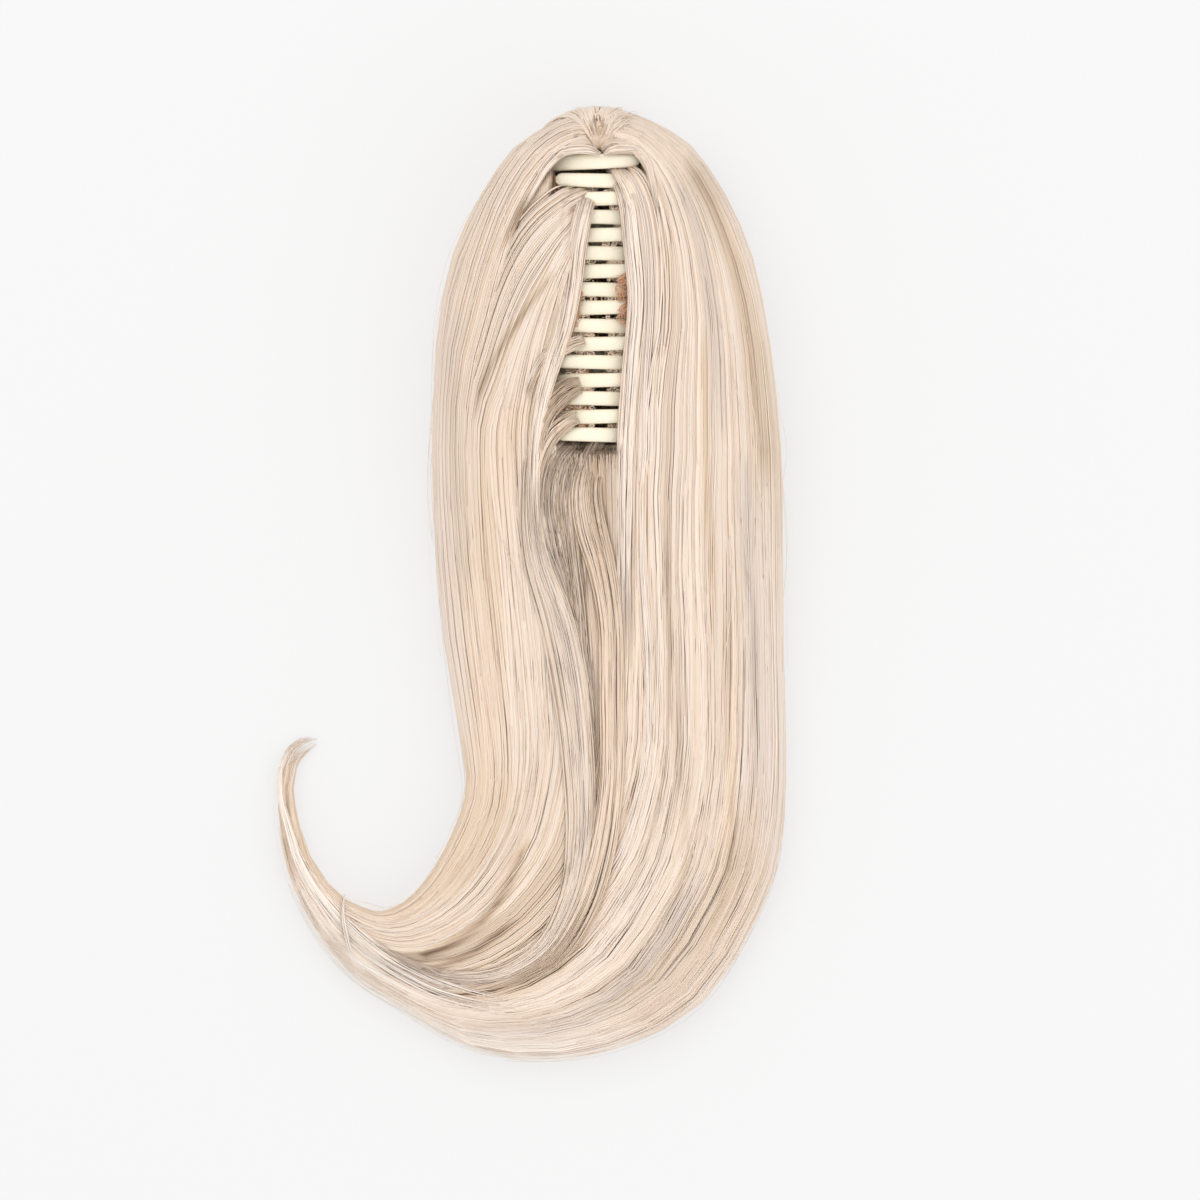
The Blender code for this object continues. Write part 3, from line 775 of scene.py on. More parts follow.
CLAW_GUIDES = {
    LEFT_SIDE: (
        Guide(0.13, [
            (577, 246), (570, 264), (563, 286), (557, 311), (552, 336), (548, 360), (545, 384), (543, 406),
            (541, 428), (540, 450),
        ]),
        Guide(0.37, [
            (577, 236), (567, 252), (556, 271), (546, 292), (537, 314), (529, 338), (522, 364), (516, 392),
            (512, 421), (510, 450),
        ]),
        Guide(0.59, [
            (579, 224), (568, 238), (556, 257), (544, 280), (531, 305), (519, 332), (508, 360), (498, 390),
            (489, 420), (483, 450),
        ]),
        Guide(0.74, [
            (590, 189), (574, 195), (557, 205), (539, 219), (522, 239), (507, 266), (494, 299), (481, 345),
            (470, 397), (464, 450),
        ]),
        Guide(0.81, [
            (567, 187), (555, 190), (543, 198), (528, 211), (512, 231), (500, 257), (488, 291), (475, 338),
            (462, 393), (456, 450),
        ]),
    ),
    RIGHT_SIDE: (
        Guide(0.0, [
            (609, 169), (615, 179), (622, 193), (628, 212), (632, 238), (634, 272), (633, 314), (630, 360),
            (628, 405), (627, 450),
        ]),
        Guide(0.12, [
            (620, 168), (629, 178), (637, 192), (643, 212), (647, 238), (649, 274), (649, 315), (646, 360),
            (643, 405), (640, 450),
        ]),
        Guide(0.22, [
            (630, 166), (641, 173), (650, 187), (657, 208), (662, 236), (666, 270), (667, 312), (664, 358),
            (661, 405), (658, 450),
        ]),
    ),
}
# A strand that ends nearer the claw than this share comes from under the teeth
CLAW_REACH = {LEFT_SIDE: (0.66, 0.82), RIGHT_SIDE: (0.07, 0.24)}
GUIDE_STEPS = 18
LOCATE_ROUNDS = 30
LAST_GUIDED_CUT = 9.6
TEETH_RADIUS = 34.8
UNDER_TEETH = 6.0
STEP_CROWDING = 1.3


def along_guides(guides, end_share):
    """The paths, in millimetres, of strands that end at these shares of the way to the outline."""
    ends = [guide.end_share for guide in guides]
    lines = np.array([from_picture(guide.line) for guide in guides])
    count = lines.shape[1]
    path = np.empty((len(end_share), count, 2))
    for point in range(count):
        for axis in (0, 1):
            path[:, point, axis] = np.interp(end_share, ends, lines[:, point, axis])
    place = (count - 1) * np.linspace(0, 1, GUIDE_STEPS) ** STEP_CROWDING
    index = np.minimum(place.astype(int), count - 2)
    share = (place - index)[None, :, None]
    b, c = path[:, index], path[:, index + 1]
    a, d = path[:, np.maximum(index - 1, 0)], path[:, np.minimum(index + 2, count - 1)]
    square = (2 * a - 5 * b + 4 * c - d) * share**2
    cube = (3 * b - a - 3 * c + d) * share**3
    return 0.5 * (2 * b + (c - a) * share + square + cube)


def locate(side, plan):
    """The cut and the lane of the hair over places on the floor, found by halving the way."""
    low, high = np.zeros(plan.shape[:-1]), np.full(plan.shape[:-1], LAST_GUIDED_CUT)
    for _ in range(LOCATE_ROUNDS):
        cut = (low + high) / 2
        seam, across_vector, width, edge = cut_line(side, cut)
        away = plan - seam
        above = side * (across_vector[..., 0] * away[..., 1] - across_vector[..., 1] * away[..., 0]) > 0
        low, high = np.where(above, low, cut), np.where(above, cut, high)
    distance = np.linalg.norm(away, axis=-1)
    edge = np.where(cut > HOLLOW_END, at_cut(f"{SIDE_NAMES[side]}_edge", cut), edge)
    across = np.clip((distance - edge) / (width - edge), 0, 1)
    return cut, np.where(distance < edge, distance / edge - 1, np.arcsin(across) * 2 / np.pi)


print("guides:", {side: len(CROWN_GUIDES[side]) + len(CLAW_GUIDES[side]) for side in CROWN_GUIDES})

# %% [markdown]
# ## The two curtains
# Real hair lies in locks: strands of one lock share a slow wave and a colour, and the
# lock is domed, so that a darker line shows between two locks; strands near a lock's edge,
# strands deep in it and the roots are also painted darker, as shade. A strand follows its
# guides to the last tooth, and from there its lane down the tail until it ends.

# %% Curtain strands
# The cuts at which every strand has a joint, closer together where the tail bends
TAIL_GRID = np.concatenate(
    [
        np.linspace(9.7, 12.0, 4),
        np.linspace(12.4, 18.0, 14),
        np.linspace(18.6, LAST_CUT, 9),
    ]
)
LOCK_HEIGHT, LOCK_FOOT = 1.3, -1.3
LOCK_WIDTHS = (0.6, 1.5)
LAYER_DEPTH = 0.7
HEIGHT_SPREAD = 0.06
FULL_CROWN = 26
TIP_REACH = 7.5
SHORT_SHARE, SHORT_CUTS = 0.06, (11, 18)
PLAN_SPREAD = 0.35
SETTLING, OUTER_SETTLING = 0.75, 0.07
OUTER_LANE, OUTER_FADE = 0.76, 0.20
VALLEY_START, VALLEY_JOIN, VALLEY_SINK = 8.9, 9.25, 7
Wave = namedtuple("Wave", "lanes mm")
LOCK_WAVES = (Wave(0.016, 62), Wave(0.007, 24))
OWN_WAVE = Wave(0.004, 17)
DRIFT = 0.010
GATHER, GATHER_START, GATHER_CUTS = 0.35, 15, 8
LOCK_TONES, STRAND_TONES = 0.035, 0.048
DEEP_SHADE, LOCK_EDGE_SHADE, ROOT_SHADE = 0.09, 0.04, 0.20
BASE_ASH, LOCK_ASHES, STRAND_ASHES = 0.18, (-0.15, 0.28), 0.10


def over_claw(x):
    """The height of the teeth's backs over places across the claw."""
    return HINGE[2] + np.sqrt(np.maximum(TEETH_RADIUS**2 - (x - HINGE[0]) ** 2, 0))


def curtain(name, side, strands, lanes, lock_width, seed, widths, lift=0.0, tone=0.74, guided=True):
    """A layer of strands in locks, over the lanes from lanes[0] to lanes[1]."""
    rng = np.random.default_rng(seed)
    edges = [lanes[0]]
    while edges[-1] < lanes[1]:
        edges.append(edges[-1] + lock_width * rng.uniform(*LOCK_WIDTHS))
    edges = np.array(edges)
    middle, lock_half = (edges[1:] + edges[:-1]) / 2, np.diff(edges) / 2
    chosen = rng.choice(len(middle), strands, p=lock_half / lock_half.sum())
    place = rng.uniform(-1, 1, strands)
    lane = middle[chosen] + lock_half[chosen] * place

    # From the root to the last tooth: along the guides, or straight down the valley
    steps = np.linspace(0, 1, GUIDE_STEPS)[None, :] ** STEP_CROWDING
    if guided:
        end_share = np.sin(np.clip(lane, 0, 1) * np.pi / 2)
        from_claw = end_share < rng.uniform(*CLAW_REACH[side], strands)
        crown_path = along_guides(CROWN_GUIDES[side], end_share)
        claw_path = along_guides(CLAW_GUIDES[side], end_share)
        plan = np.where(from_claw[:, None, None], claw_path, crown_path)
        jitter = rng.normal(0, PLAN_SPREAD, (strands, 1, 2)) * (1 - steps[..., None])
        first_cut, first_lane = locate(side, plan + jitter)
        # Near the outline a small step aside is a long way down, so those strands take their lane early
        outer = smooth((lane - OUTER_LANE) / OUTER_FADE)[:, None]
        settling = SETTLING + (OUTER_SETTLING - SETTLING) * outer
        first_lane += (lane[:, None] - first_lane) * smooth((steps - settling) / (1 - SETTLING))
        join = first_cut[:, -1]
        grid = TAIL_GRID
    else:
        join = VALLEY_JOIN + rng.uniform(-0.2, 0.2, strands)
        first_cut = np.linspace(VALLEY_START, join, GUIDE_STEPS).T
        first_lane = np.repeat(lane[:, None], GUIDE_STEPS, 1)
        grid = TAIL_GRID[1:]

    # Down the tail: the last joints crowd before the cut at which the strand ends
    cuts, lengths = RUNS[side]
    start = np.interp(join, cuts, lengths)
    last = LAST_CUT - 0.1 - rng.beta(2.2, 1.7, strands) * TIP_REACH
    last = np.where(rng.random(strands) < SHORT_SHARE, rng.uniform(*SHORT_CUTS, strands), last)
    bend = np.maximum(last - 1.2, join + 1.0)
    after = np.argmax(grid[None, :] > bend[:, None], axis=1)
    order = np.arange(len(grid))[None, :]
    ending = (order - after[:, None] + 1) / (len(grid) - after[:, None])
    before = np.where(after > 0, grid[np.maximum(after - 1, 0)], join)[:, None]
    tail_cut = np.where(order < after[:, None], grid[None, :], before + (last[:, None] - before) * ending)
    length = np.interp(tail_cut, cuts, lengths)
    share = np.clip((length - start[:, None]) / (lengths[-1] - start[:, None]), 0, 1)

    lock_phase = rng.uniform(0, 2 * np.pi, (4, len(middle)))
    own_phase = rng.uniform(0, 2 * np.pi, (2, strands))
    sway = OWN_WAVE.lanes * np.sin(length / OWN_WAVE.mm + own_phase[0][:, None])
    for wave, phase in zip(LOCK_WAVES, lock_phase):
        sway += wave.lanes * np.sin(length / wave.mm + phase[chosen][:, None])
    sway += rng.normal(0, DRIFT, strands)[:, None] * share
    gather = 1 - GATHER * smooth((tail_cut - GATHER_START) / GATHER_CUTS)
    tail_lane = middle[chosen][:, None] + (lock_half[chosen] * place)[:, None] * gather
    tail_lane = tail_lane + sway * smooth(share * 6)
    cut = np.clip(np.concatenate([first_cut, tail_cut], 1), 0.12, LAST_CUT)
    lane_all = np.concatenate([first_lane, tail_lane], 1)

    # Locks are domed, and their strands lie at several depths
    depth = rng.random(strands) ** 1.6
    dome = LOCK_HEIGHT * np.sqrt(1 - 0.9 * place**2)
    height = LOCK_FOOT + dome - depth * LAYER_DEPTH + lift + rng.normal(0, HEIGHT_SPREAD, strands)
    height = height[:, None] * np.clip(at_cut("crown", cut) / FULL_CROWN, 0.2, 1)
    normal = hair_normal(side, cut, lane_all)
    paths = hair_surface(side, cut, lane_all) + normal * height[..., None]
    first = paths[:, :GUIDE_STEPS]
    if guided:
        beyond_teeth = over_claw(first[..., 0]) + 0.5 + 0.5 * height[:, :GUIDE_STEPS]
        lifted = np.maximum(first[..., 2], beyond_teeth) - UNDER_TEETH * (1 - smooth(steps / 0.08))
        first[..., 2] = np.where(from_claw[:, None], lifted, first[..., 2])
    else:
        first[..., 2] -= VALLEY_SINK * (1 - smooth(steps))

    along = np.linspace(0, 1, paths.shape[1])[None, :]
    width = strand_widths(rng, strands, widths, along, 0.35, 0.12, 0.72)

    lock_tone = rng.normal(0, LOCK_TONES, len(middle))[chosen]
    lock_ash = rng.uniform(*LOCK_ASHES, len(middle))[chosen]
    change, ash = streak_and_shadow_tint(paths)
    own_tone_and_shade = lock_tone + rng.normal(0, STRAND_TONES, strands)
    # Painted shade: strands deep in the lock and near its edges are darker, and so are the roots
    own_tone_and_shade -= DEEP_SHADE * depth + LOCK_EDGE_SHADE * place**4
    tone = tone + change + own_tone_and_shade[:, None] - ROOT_SHADE * (1 - smooth(along / 0.07))
    own_ash = lock_ash + rng.normal(0, STRAND_ASHES, strands)
    tint = strand_tint(tone, BASE_ASH + ash + own_ash[:, None])
    return strand_piece(name, paths, normal, width, tint, lane * MM_PER_LANE + rng.uniform(0, 9, strands))


CURTAIN_SEEDS = {LEFT_SIDE: 11, RIGHT_SIDE: 23}
for side, label in SIDE_NAMES.items():
    seed = CURTAIN_SEEDS[side]
    curtain(f"{label}_curtain_low", side, 748, (0.0, 1.25), 0.075, seed, (0.65, 1.35), lift=-0.25)
    curtain(f"{label}_curtain_top", side, 748, (0.0, 1.25), 0.055, seed + 1, (0.32, 0.90), lift=0.2)
    curtain(f"{label}_side_strands", side, 650, (1.15, 2.05), 0.12, seed + 2, (0.6, 1.4))
    curtain(f"{label}_valley", side, 330, (-1.0, 0.06), 0.10, seed + 3, (0.4, 1.0), 0.1, 0.60, False)

# %% [markdown]
# ## Locks that are placed one by one
# Some locks don't follow the curtains: one crosses the teeth, one hangs from under the
# last tooth, and silver and tangled hair fill the valley between the curtains. Each is a
# line over the picture with a width at every point. Its height comes from a relief of the
# hair below, so that the lock lies on it.

# %% A relief of the hair
RELIEF_HALF_X, RELIEF_HALF_Y = 120, 210
FILL_ROUNDS, FILL_FALL = 40, 0.4
BLUR_ROUNDS = 2
LOWEST_RELIEF = 0.6


def sum_around(squares):
    """The sum of each square's four neighbours."""
    return sum(np.roll(squares, shift, (0, 1)) for shift in ((1, 0), (-1, 0), (0, 1), (0, -1)))


def make_relief():
    """The height of the hair over each square millimetre of the floor."""
    relief = np.full((2 * RELIEF_HALF_Y, 2 * RELIEF_HALF_X), -np.inf)
    cuts, lanes = np.meshgrid(np.linspace(0, LAST_CUT, 1500), np.linspace(-1, 1, 240), indexing="ij")
    for side in (LEFT_SIDE, RIGHT_SIDE):
        points = hair_surface(side, cuts, lanes)
        beside_claw = (cuts > HOLLOW_START - 0.05) & (cuts < HOLLOW_END + 0.05) & (lanes < 0)
        z = np.where(beside_claw, over_claw(points[..., 0]), points[..., 2])
        row = np.clip(np.floor(points[..., 1]).astype(int) + RELIEF_HALF_Y, 0, len(relief) - 1)
        column = np.clip(np.floor(points[..., 0]).astype(int) + RELIEF_HALF_X, 0, relief.shape[1] - 1)
        np.maximum.at(relief, (row, column), z)
    # Squares outside the hair take their neighbours' height, a little lower each round
    for _ in range(FILL_ROUNDS):
        empty = np.isinf(relief)
        total = sum_around(np.where(empty, 0.0, relief))
        count = sum_around(np.where(empty, 0.0, 1.0))
        relief = np.where(empty & (count > 0), total / np.maximum(count, 1) - FILL_FALL, relief)
    relief = np.where(np.isinf(relief), 0.0, relief)
    for _ in range(BLUR_ROUNDS):
        relief = 0.5 * relief + 0.125 * sum_around(relief)
    return np.maximum(relief, LOWEST_RELIEF)


RELIEF = make_relief()


def relief_height(x, y):
    """The relief's height between its squares."""
    column, row = x + RELIEF_HALF_X - 0.5, y + RELIEF_HALF_Y - 0.5
    left, low = np.floor(column).astype(int), np.floor(row).astype(int)
    right_share, up_share = column - left, row - low
    low_edge = RELIEF[low, left] * (1 - right_share) + RELIEF[low, left + 1] * right_share
    top_edge = RELIEF[low + 1, left] * (1 - right_share) + RELIEF[low + 1, left + 1] * right_share
    return low_edge * (1 - up_share) + top_edge * up_share


print("relief:", RELIEF.shape, "highest:", round(float(RELIEF.max()), 1), "mm")

# %% Placed locks
LOCK_STEPS = 40
LOCK_CREST, LOCK_DEPTH = 1.3, 1.5
LOCK_FADE = 24
LOCK_STRAND_WIDTHS = (0.28, 0.75)
SINK_START, SINK_SHARE = 0.025, 0.04
FACING_RISE = 2.0
FIRST_LOCK_SEED = 500
# How far a lock lies over the relief, how deep it starts, how ragged and how messy it is.
# Its line has places in pixels and the width there.
Lock = namedtuple("Lock", "name strands lift sink stagger tone ash mess line")
LOCKS = (
    Lock("tan_lock", 130, 1.2, 12, 0.03, 0.68, 0.05, 1.0, [
        (602, 440, 22), (592, 462, 26), (586, 490, 30), (590, 525, 32), (601, 565, 28), (609, 610, 24),
        (611, 700, 24), (611, 780, 24), (602, 850, 26), (583, 910, 26), (550, 960, 22), (505, 985, 16),
    ]),
    Lock("grey_tangle", 150, -0.4, 12, 0.12, 0.48, 0.65, 3.5, [
        (586, 438, 30), (566, 462, 44), (558, 500, 44), (563, 545, 38), (573, 590, 26), (582, 650, 16),
        (590, 710, 10), (594, 780, 8),
    ]),
    Lock("silver_lock", 190, 0.7, 3, 0.2, 0.71, 0.42, 1.0, [
        (546, 422, 8), (533, 450, 14), (530, 500, 20), (537, 560, 28), (556, 620, 36), (570, 690, 36),
        (578, 760, 32), (580, 830, 28), (568, 900, 22), (542, 948, 18), (505, 972, 14), (455, 978, 12),
        (405, 962, 8), (370, 938, 4),
    ]),
    Lock("crossing_lock", 90, 1.4, 9, 0.0, 0.80, 0.10, 1.2, [
        (592, 184, 14), (585, 206, 17), (577, 240, 19), (571, 290, 19), (563, 330, 18), (551, 368, 17),
        (541, 405, 14), (535, 445, 12), (533, 500, 12), (538, 560, 10),
    ]),
    Lock("edge_lock", 90, 0.9, 8, 0.0, 0.84, 0.06, 1.0, [
        (611, 163, 14), (619, 178, 16), (627, 200, 17), (632, 240, 18), (637, 300, 18), (632, 360, 18),
        (627, 440, 18), (625, 560, 16), (626, 680, 12),
    ]),
    Lock("short_hairs", 60, 1.0, 9, 0.1, 0.55, 0.20, 3.0, [
        (586, 384, 14), (573, 388, 18), (559, 398, 20), (546, 415, 18), (537, 445, 14), (533, 480, 8),
    ]),
    Lock("claw_wisps", 36, 0.8, 9, 0.1, 0.72, 0.10, 3.0, [
        (588, 338, 10), (574, 344, 12), (560, 350, 14), (547, 360, 14), (536, 378, 10), (528, 402, 6),
    ]),
    Lock("last_tooth_hairs", 40, 0.8, 9, 0.1, 0.60, 0.15, 2.5, [
        (582, 416, 12), (570, 420, 14), (556, 430, 16), (545, 446, 14), (538, 470, 10), (536, 500, 6),
    ]),
    Lock("lower_wisps", 80, -2.0, 0, 0.35, 0.96, 0.15, 3.0, [
        (575, 1020, 24), (500, 1026, 26), (430, 1004, 30), (370, 965, 26), (328, 915, 20), (300, 870, 12),
        (290, 830, 6),
    ]),
    Lock("outer_tip", 80, 0.2, 0, 0.5, 0.93, 0.1, 1.0, [
        (520, 1010, 20), (430, 985, 24), (370, 950, 22), (325, 905, 16), (300, 865, 10), (287, 825, 7),
        (279, 790, 5), (283, 758, 3), (296, 744, 2), (318, 739, 2),
    ]),
    Lock("first_tooth_left", 50, 0.4, 0, 0.0, 0.78, 0.20, 1.0, [
        (600, 155, 4), (591, 151, 8), (578, 150, 9), (563, 153, 9), (549, 165, 8), (536, 186, 6),
        (522, 212, 4),
    ]),
    Lock("first_tooth_right", 52, 0.4, 0, 0.0, 0.78, 0.20, 1.0, [
        (604, 155, 4), (613, 151, 8), (625, 150, 9), (637, 152, 9), (646, 162, 8), (652, 182, 6),
        (657, 214, 4),
    ]),
    Lock("stray_pair", 5, 2.4, 0, 0.1, 0.97, 0.1, 0.6, [
        (343, 895, 3), (342, 915, 6), (345, 935, 8), (350, 952, 6), (358, 968, 3),
    ]),
)


def smooth_line(line, steps):
    """Evenly spaced points on a smooth curve through the given ones."""
    line = np.array(line, dtype=float)
    chord = np.concatenate([[0], np.cumsum(np.linalg.norm(np.diff(line[:, :2], axis=0), axis=-1))])
    slope = np.gradient(line, chord, axis=0)
    place = np.linspace(0, chord[-1], steps)
    index = np.clip(np.searchsorted(chord, place, side="right") - 1, 0, len(line) - 2)
    gap = (chord[index + 1] - chord[index])[:, None]
    share = ((place - chord[index]) / gap[:, 0])[:, None]
    start, end = line[index], line[index + 1]
    curve = (2 * share**3 - 3 * share**2 + 1) * start + (3 * share**2 - 2 * share**3) * end
    return curve + (share**3 - 2 * share**2 + share) * gap * slope[index] + (
        share**3 - share**2
    ) * gap * slope[index + 1]


def lay_lock(lock):
    """The paths, facings, widths and tints of one lock's strands."""
    rng = np.random.default_rng(FIRST_LOCK_SEED + len(lock.name) * 7 + lock.strands)
    spine = smooth_line(lock.line, LOCK_STEPS)
    middle = from_picture(spine[:, :2])
    half = np.maximum(spine[:, 2], 1) * MM_PER_PIXEL / 2
    along = unit(np.gradient(middle, axis=0))
    across = np.stack([-along[:, 1], along[:, 0]], -1)
    share = np.linspace(0, 1, LOCK_STEPS)
    place = rng.uniform(-1, 1, lock.strands)
    length = share * np.linalg.norm(np.diff(middle, axis=0), axis=-1).sum()
    phase = rng.uniform(0, 2 * np.pi, (2, lock.strands, 1))
    wander = np.sin(length / 16 + phase[0]) + 0.5 * np.sin(length / 7 + phase[1])
    offset = place[:, None] * half + wander * 0.22 * lock.mess * smooth(share * 5)
    paths = middle[None] + across[None] * offset[..., None]

    depth = rng.random(lock.strands) ** 1.5
    crest = LOCK_CREST * np.sqrt(1 - 0.9 * place**2) - LOCK_DEPTH * depth + lock.lift
    lean = rng.normal(0, 0.25 * lock.mess, lock.strands)[:, None] * np.sin(length / 13 + phase[1])
    ground = relief_height(paths[..., 0], paths[..., 1])
    z = ground + (crest[:, None] + 0.4 * lean) * np.clip(ground / LOCK_FADE, 0.2, 1)
    z = z - lock.sink * (1 - smooth((share - SINK_START) / SINK_SHARE))
    start = rng.uniform(0, 1, lock.strands) * lock.stagger
    end = 1 - rng.beta(1, 3, lock.strands) * 0.4
    span = start[:, None] + (end - start)[:, None] * share
    paths = np.concatenate([paths, z[..., None]], -1)
    paths = np.array([[np.interp(span[i], share, axis) for axis in path.T] for i, path in enumerate(paths)])
    paths = paths.transpose(0, 2, 1)

    x, y = paths[..., 0], paths[..., 1]
    fall_x = relief_height(x - 1, y) - relief_height(x + 1, y)
    fall_y = relief_height(x, y - 1) - relief_height(x, y + 1)
    facing = unit(np.stack([fall_x, fall_y, np.full_like(x, FACING_RISE)], -1))
    width = strand_widths(rng, lock.strands, LOCK_STRAND_WIDTHS, share, 0.3, 0.15, 0.75)
    tone_spread = 0.035 + 0.03 * lock.mess
    # Deeper strands and strands at the lock's edges are painted darker, as shade
    tone = lock.tone + rng.normal(0, tone_spread, lock.strands) - 0.12 * depth - 0.06 * place**4
    ash = lock.ash + rng.normal(0, 0.12, (lock.strands, 1))
    tint = strand_tint(tone[:, None], ash)
    return paths, facing, width, np.broadcast_to(tint, (lock.strands, LOCK_STEPS, 2))


def lay_locks(name, locks):
    """One piece from several locks."""
    laid = [lay_lock(lock) for lock in locks]
    kinds = [np.concatenate(parts) for parts in zip(*laid)]
    return strand_piece(name, *kinds, np.linspace(0, 40, len(kinds[0])))


lay_locks("placed_locks_upper", LOCKS[:4])
lay_locks("placed_locks_lower", LOCKS[4:])

# %% [markdown]
# ## Teeth
# The claw is moulded in one colour right through, a warm ivory with a soft shine. A tooth
# is a flat bar with round edges that follows the claw's turning circle and ends in a
# rounded tip. One is spun about the hinge from a circle and then drawn to its width; the
# sixteen are copies with their own lean.

# %% Ivory plastic
LIGHT_REACH = (0.003, 0.002, 0.001)
ivory = Finish(
    "ivory_plastic", Roughness=0.34, IOR=1.47, Subsurface_Weight=0.12, Subsurface_Radius=LIGHT_REACH
)
ivory_colour, _ = ivory.cloudy("#F5EBD2", "#F9F0DC", Scale=90.0, Detail=3.0)
ivory_plastic = ivory.feed(Base_Color=ivory_colour)

# %% Spin and copy the teeth
TEETH_PER_JAW = 8
TOOTH_PITCH = 7.0
TOOTH_ROOT_ANGLE, TOOTH_TIP_ANGLE = 46.0, -28.8
TOOTH_ROOT_RADIUS, TOOTH_TIP_RADIUS = 28.2, 32.8
TOOTH_TIP_WIDTH = 5.1
TOOTH_ROOT_THICK, TOOTH_TIP_THICK = 3.1, 2.6
ROUNDING_START, ROUND_SHARE = 0.7, 0.055
TOOTH_STEPS, TOOTH_SIDES = 22, 18
SLIMMEST_CAP = 0.02
WIDE_POWER, THICK_POWER = 0.72, 0.8
WIDTH_EXCESS = 1.03
Tooth = namedtuple("Tooth", "lean root_width shift")
FIRST_TOOTH = Tooth(0.85, 6.8, 0.7)
OTHER_TOOTH = Tooth(0.45, 5.7, 0.0)


def spin_tooth():
    """A bar with a round section, spun over the teeth's angle about the hinge."""
    bpy.ops.object.select_all(action="DESELECT")
    top = (HINGE[0] * MM, HINGE[1] * MM, (HINGE[2] + TOOTH_ROOT_RADIUS) * MM)
    across = (0, math.pi / 2, 0)
    bpy.ops.mesh.primitive_circle_add(vertices=TOOTH_SIDES, radius=MM, location=top, rotation=across)
    tooth = bpy.context.object
    bpy.ops.object.transform_apply(location=True, rotation=True, scale=True)
    bpy.ops.object.mode_set(mode="EDIT")
    bpy.ops.mesh.select_all(action="SELECT")
    bpy.ops.mesh.spin(
        steps=TOOTH_STEPS,
        angle=math.radians(TOOTH_ROOT_ANGLE - TOOTH_TIP_ANGLE),
        center=tuple(value * MM for value in HINGE),
        axis=(0, 1, 0),
    )
    bpy.ops.object.mode_set(mode="OBJECT")
    return tooth


def draw_tooth(tooth, side, place, shape):
    """Draws a spun tooth to its width and thickness, and rounds its tip."""
    mesh = tooth.data
    points = np.empty(len(mesh.vertices) * 3)
    mesh.vertices.foreach_get("co", points)
    points = points.reshape(-1, 3) / MM - np.array(HINGE)
    turn = np.abs(np.degrees(np.arctan2(points[:, 0], points[:, 2])))
    step = np.round(turn / (TOOTH_ROOT_ANGLE - TOOTH_TIP_ANGLE) * TOOTH_STEPS) / TOOTH_STEPS
    rounding = np.clip((step - ROUNDING_START) / (1 - ROUNDING_START), 0, 1)
    share = np.minimum(step / ROUNDING_START, 1) * (1 - ROUND_SHARE)
    share = share + ROUND_SHARE * np.sin(rounding * np.pi / 2)
    cap = np.maximum(np.cos(rounding * np.pi / 2), SLIMMEST_CAP)
    outward = np.linalg.norm(points[:, [0, 2]], axis=-1) - TOOTH_ROOT_RADIUS
    around = np.arctan2(outward, points[:, 1])
    wide = np.sign(np.cos(around)) * np.abs(np.cos(around)) ** WIDE_POWER
    thick = np.sign(np.sin(around)) * np.abs(np.sin(around)) ** THICK_POWER
    half_width = cap * (shape.root_width + (TOOTH_TIP_WIDTH - shape.root_width) * share) / 2 * WIDTH_EXCESS
    half_thick = np.sqrt(cap) * (TOOTH_ROOT_THICK + (TOOTH_TIP_THICK - TOOTH_ROOT_THICK) * share) / 2
    radius = TOOTH_ROOT_RADIUS + (TOOTH_TIP_RADIUS - TOOTH_ROOT_RADIUS) * share + thick * half_thick
    angle = np.radians(TOOTH_ROOT_ANGLE + (TOOTH_TIP_ANGLE - TOOTH_ROOT_ANGLE) * share)
    middle = place + shape.lean * (2 * share - 1) + shape.shift * (1 - share)
    drawn = np.stack(
        [side * radius * np.sin(angle), middle + wide * half_width, radius * np.cos(angle)], -1
    )
    mesh.vertices.foreach_set("co", ((drawn + np.array(HINGE)) * MM).ravel())


def close_and_smooth(thing):
    """Closes open ends, turns the faces outwards and shades them smooth."""
    select_only(thing)
    bpy.ops.object.mode_set(mode="EDIT")
    bpy.ops.mesh.select_all(action="SELECT")
    bpy.ops.mesh.fill_holes(sides=0)
    bpy.ops.mesh.normals_make_consistent(inside=False)
    bpy.ops.object.mode_set(mode="OBJECT")
    bpy.ops.object.shade_smooth()


def make_teeth(name, side, body):
    copies = []
    for number in range(TEETH_PER_JAW):
        order = 2 * number + (0 if side == LEFT_SIDE else 1)
        place = (2 * TEETH_PER_JAW - 1) * TOOTH_PITCH / 2 - order * TOOTH_PITCH
        tooth = spin_tooth()
        draw_tooth(tooth, side, place, FIRST_TOOTH if order == 0 else OTHER_TOOTH)
        copies.append(tooth)
    select_only(copies[0])
    for tooth in copies:
        tooth.select_set(True)
    bpy.ops.object.join()
    teeth = bpy.context.object
    teeth.name = name
    close_and_smooth(teeth)
    select_only(teeth)
    bpy.ops.object.transform_apply(location=True, rotation=True, scale=True)
    teeth.data.materials.append(ivory_plastic)
    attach(teeth, body)
    return teeth


left_teeth = make_teeth("left_teeth", LEFT_SIDE, "left_side")
right_teeth = make_teeth("right_teeth", RIGHT_SIDE, "right_side")
print("teeth:", len(left_teeth.data.polygons), len(right_teeth.data.polygons), "faces")

# %% [markdown]
# ## The parting at the crown
# All the hair springs from one short parting above the first tooth. A fan of short
# strands rises out of it, darker at the root, and bends over the crown. It also closes
# the small gap that the two curtains leave between them.

# %% Crown fan
FAN_STRANDS = 170
FAN_STEPS = 16
FAN_MIDDLE, FAN_SPREAD = 84, 42
FAN_REACHES, FAN_SAG = (10, 18), 5.0
FAN_WIDTHS = (0.3, 0.7)
FAN_TONE, FAN_ROOT_SHADE, FAN_ASH = 0.70, 0.42, 0.25
ROOT = (26.2, 167.4, 58.5)
CROWN_EDGE_Y, CROWN_END_Y = 180.5, 184.4


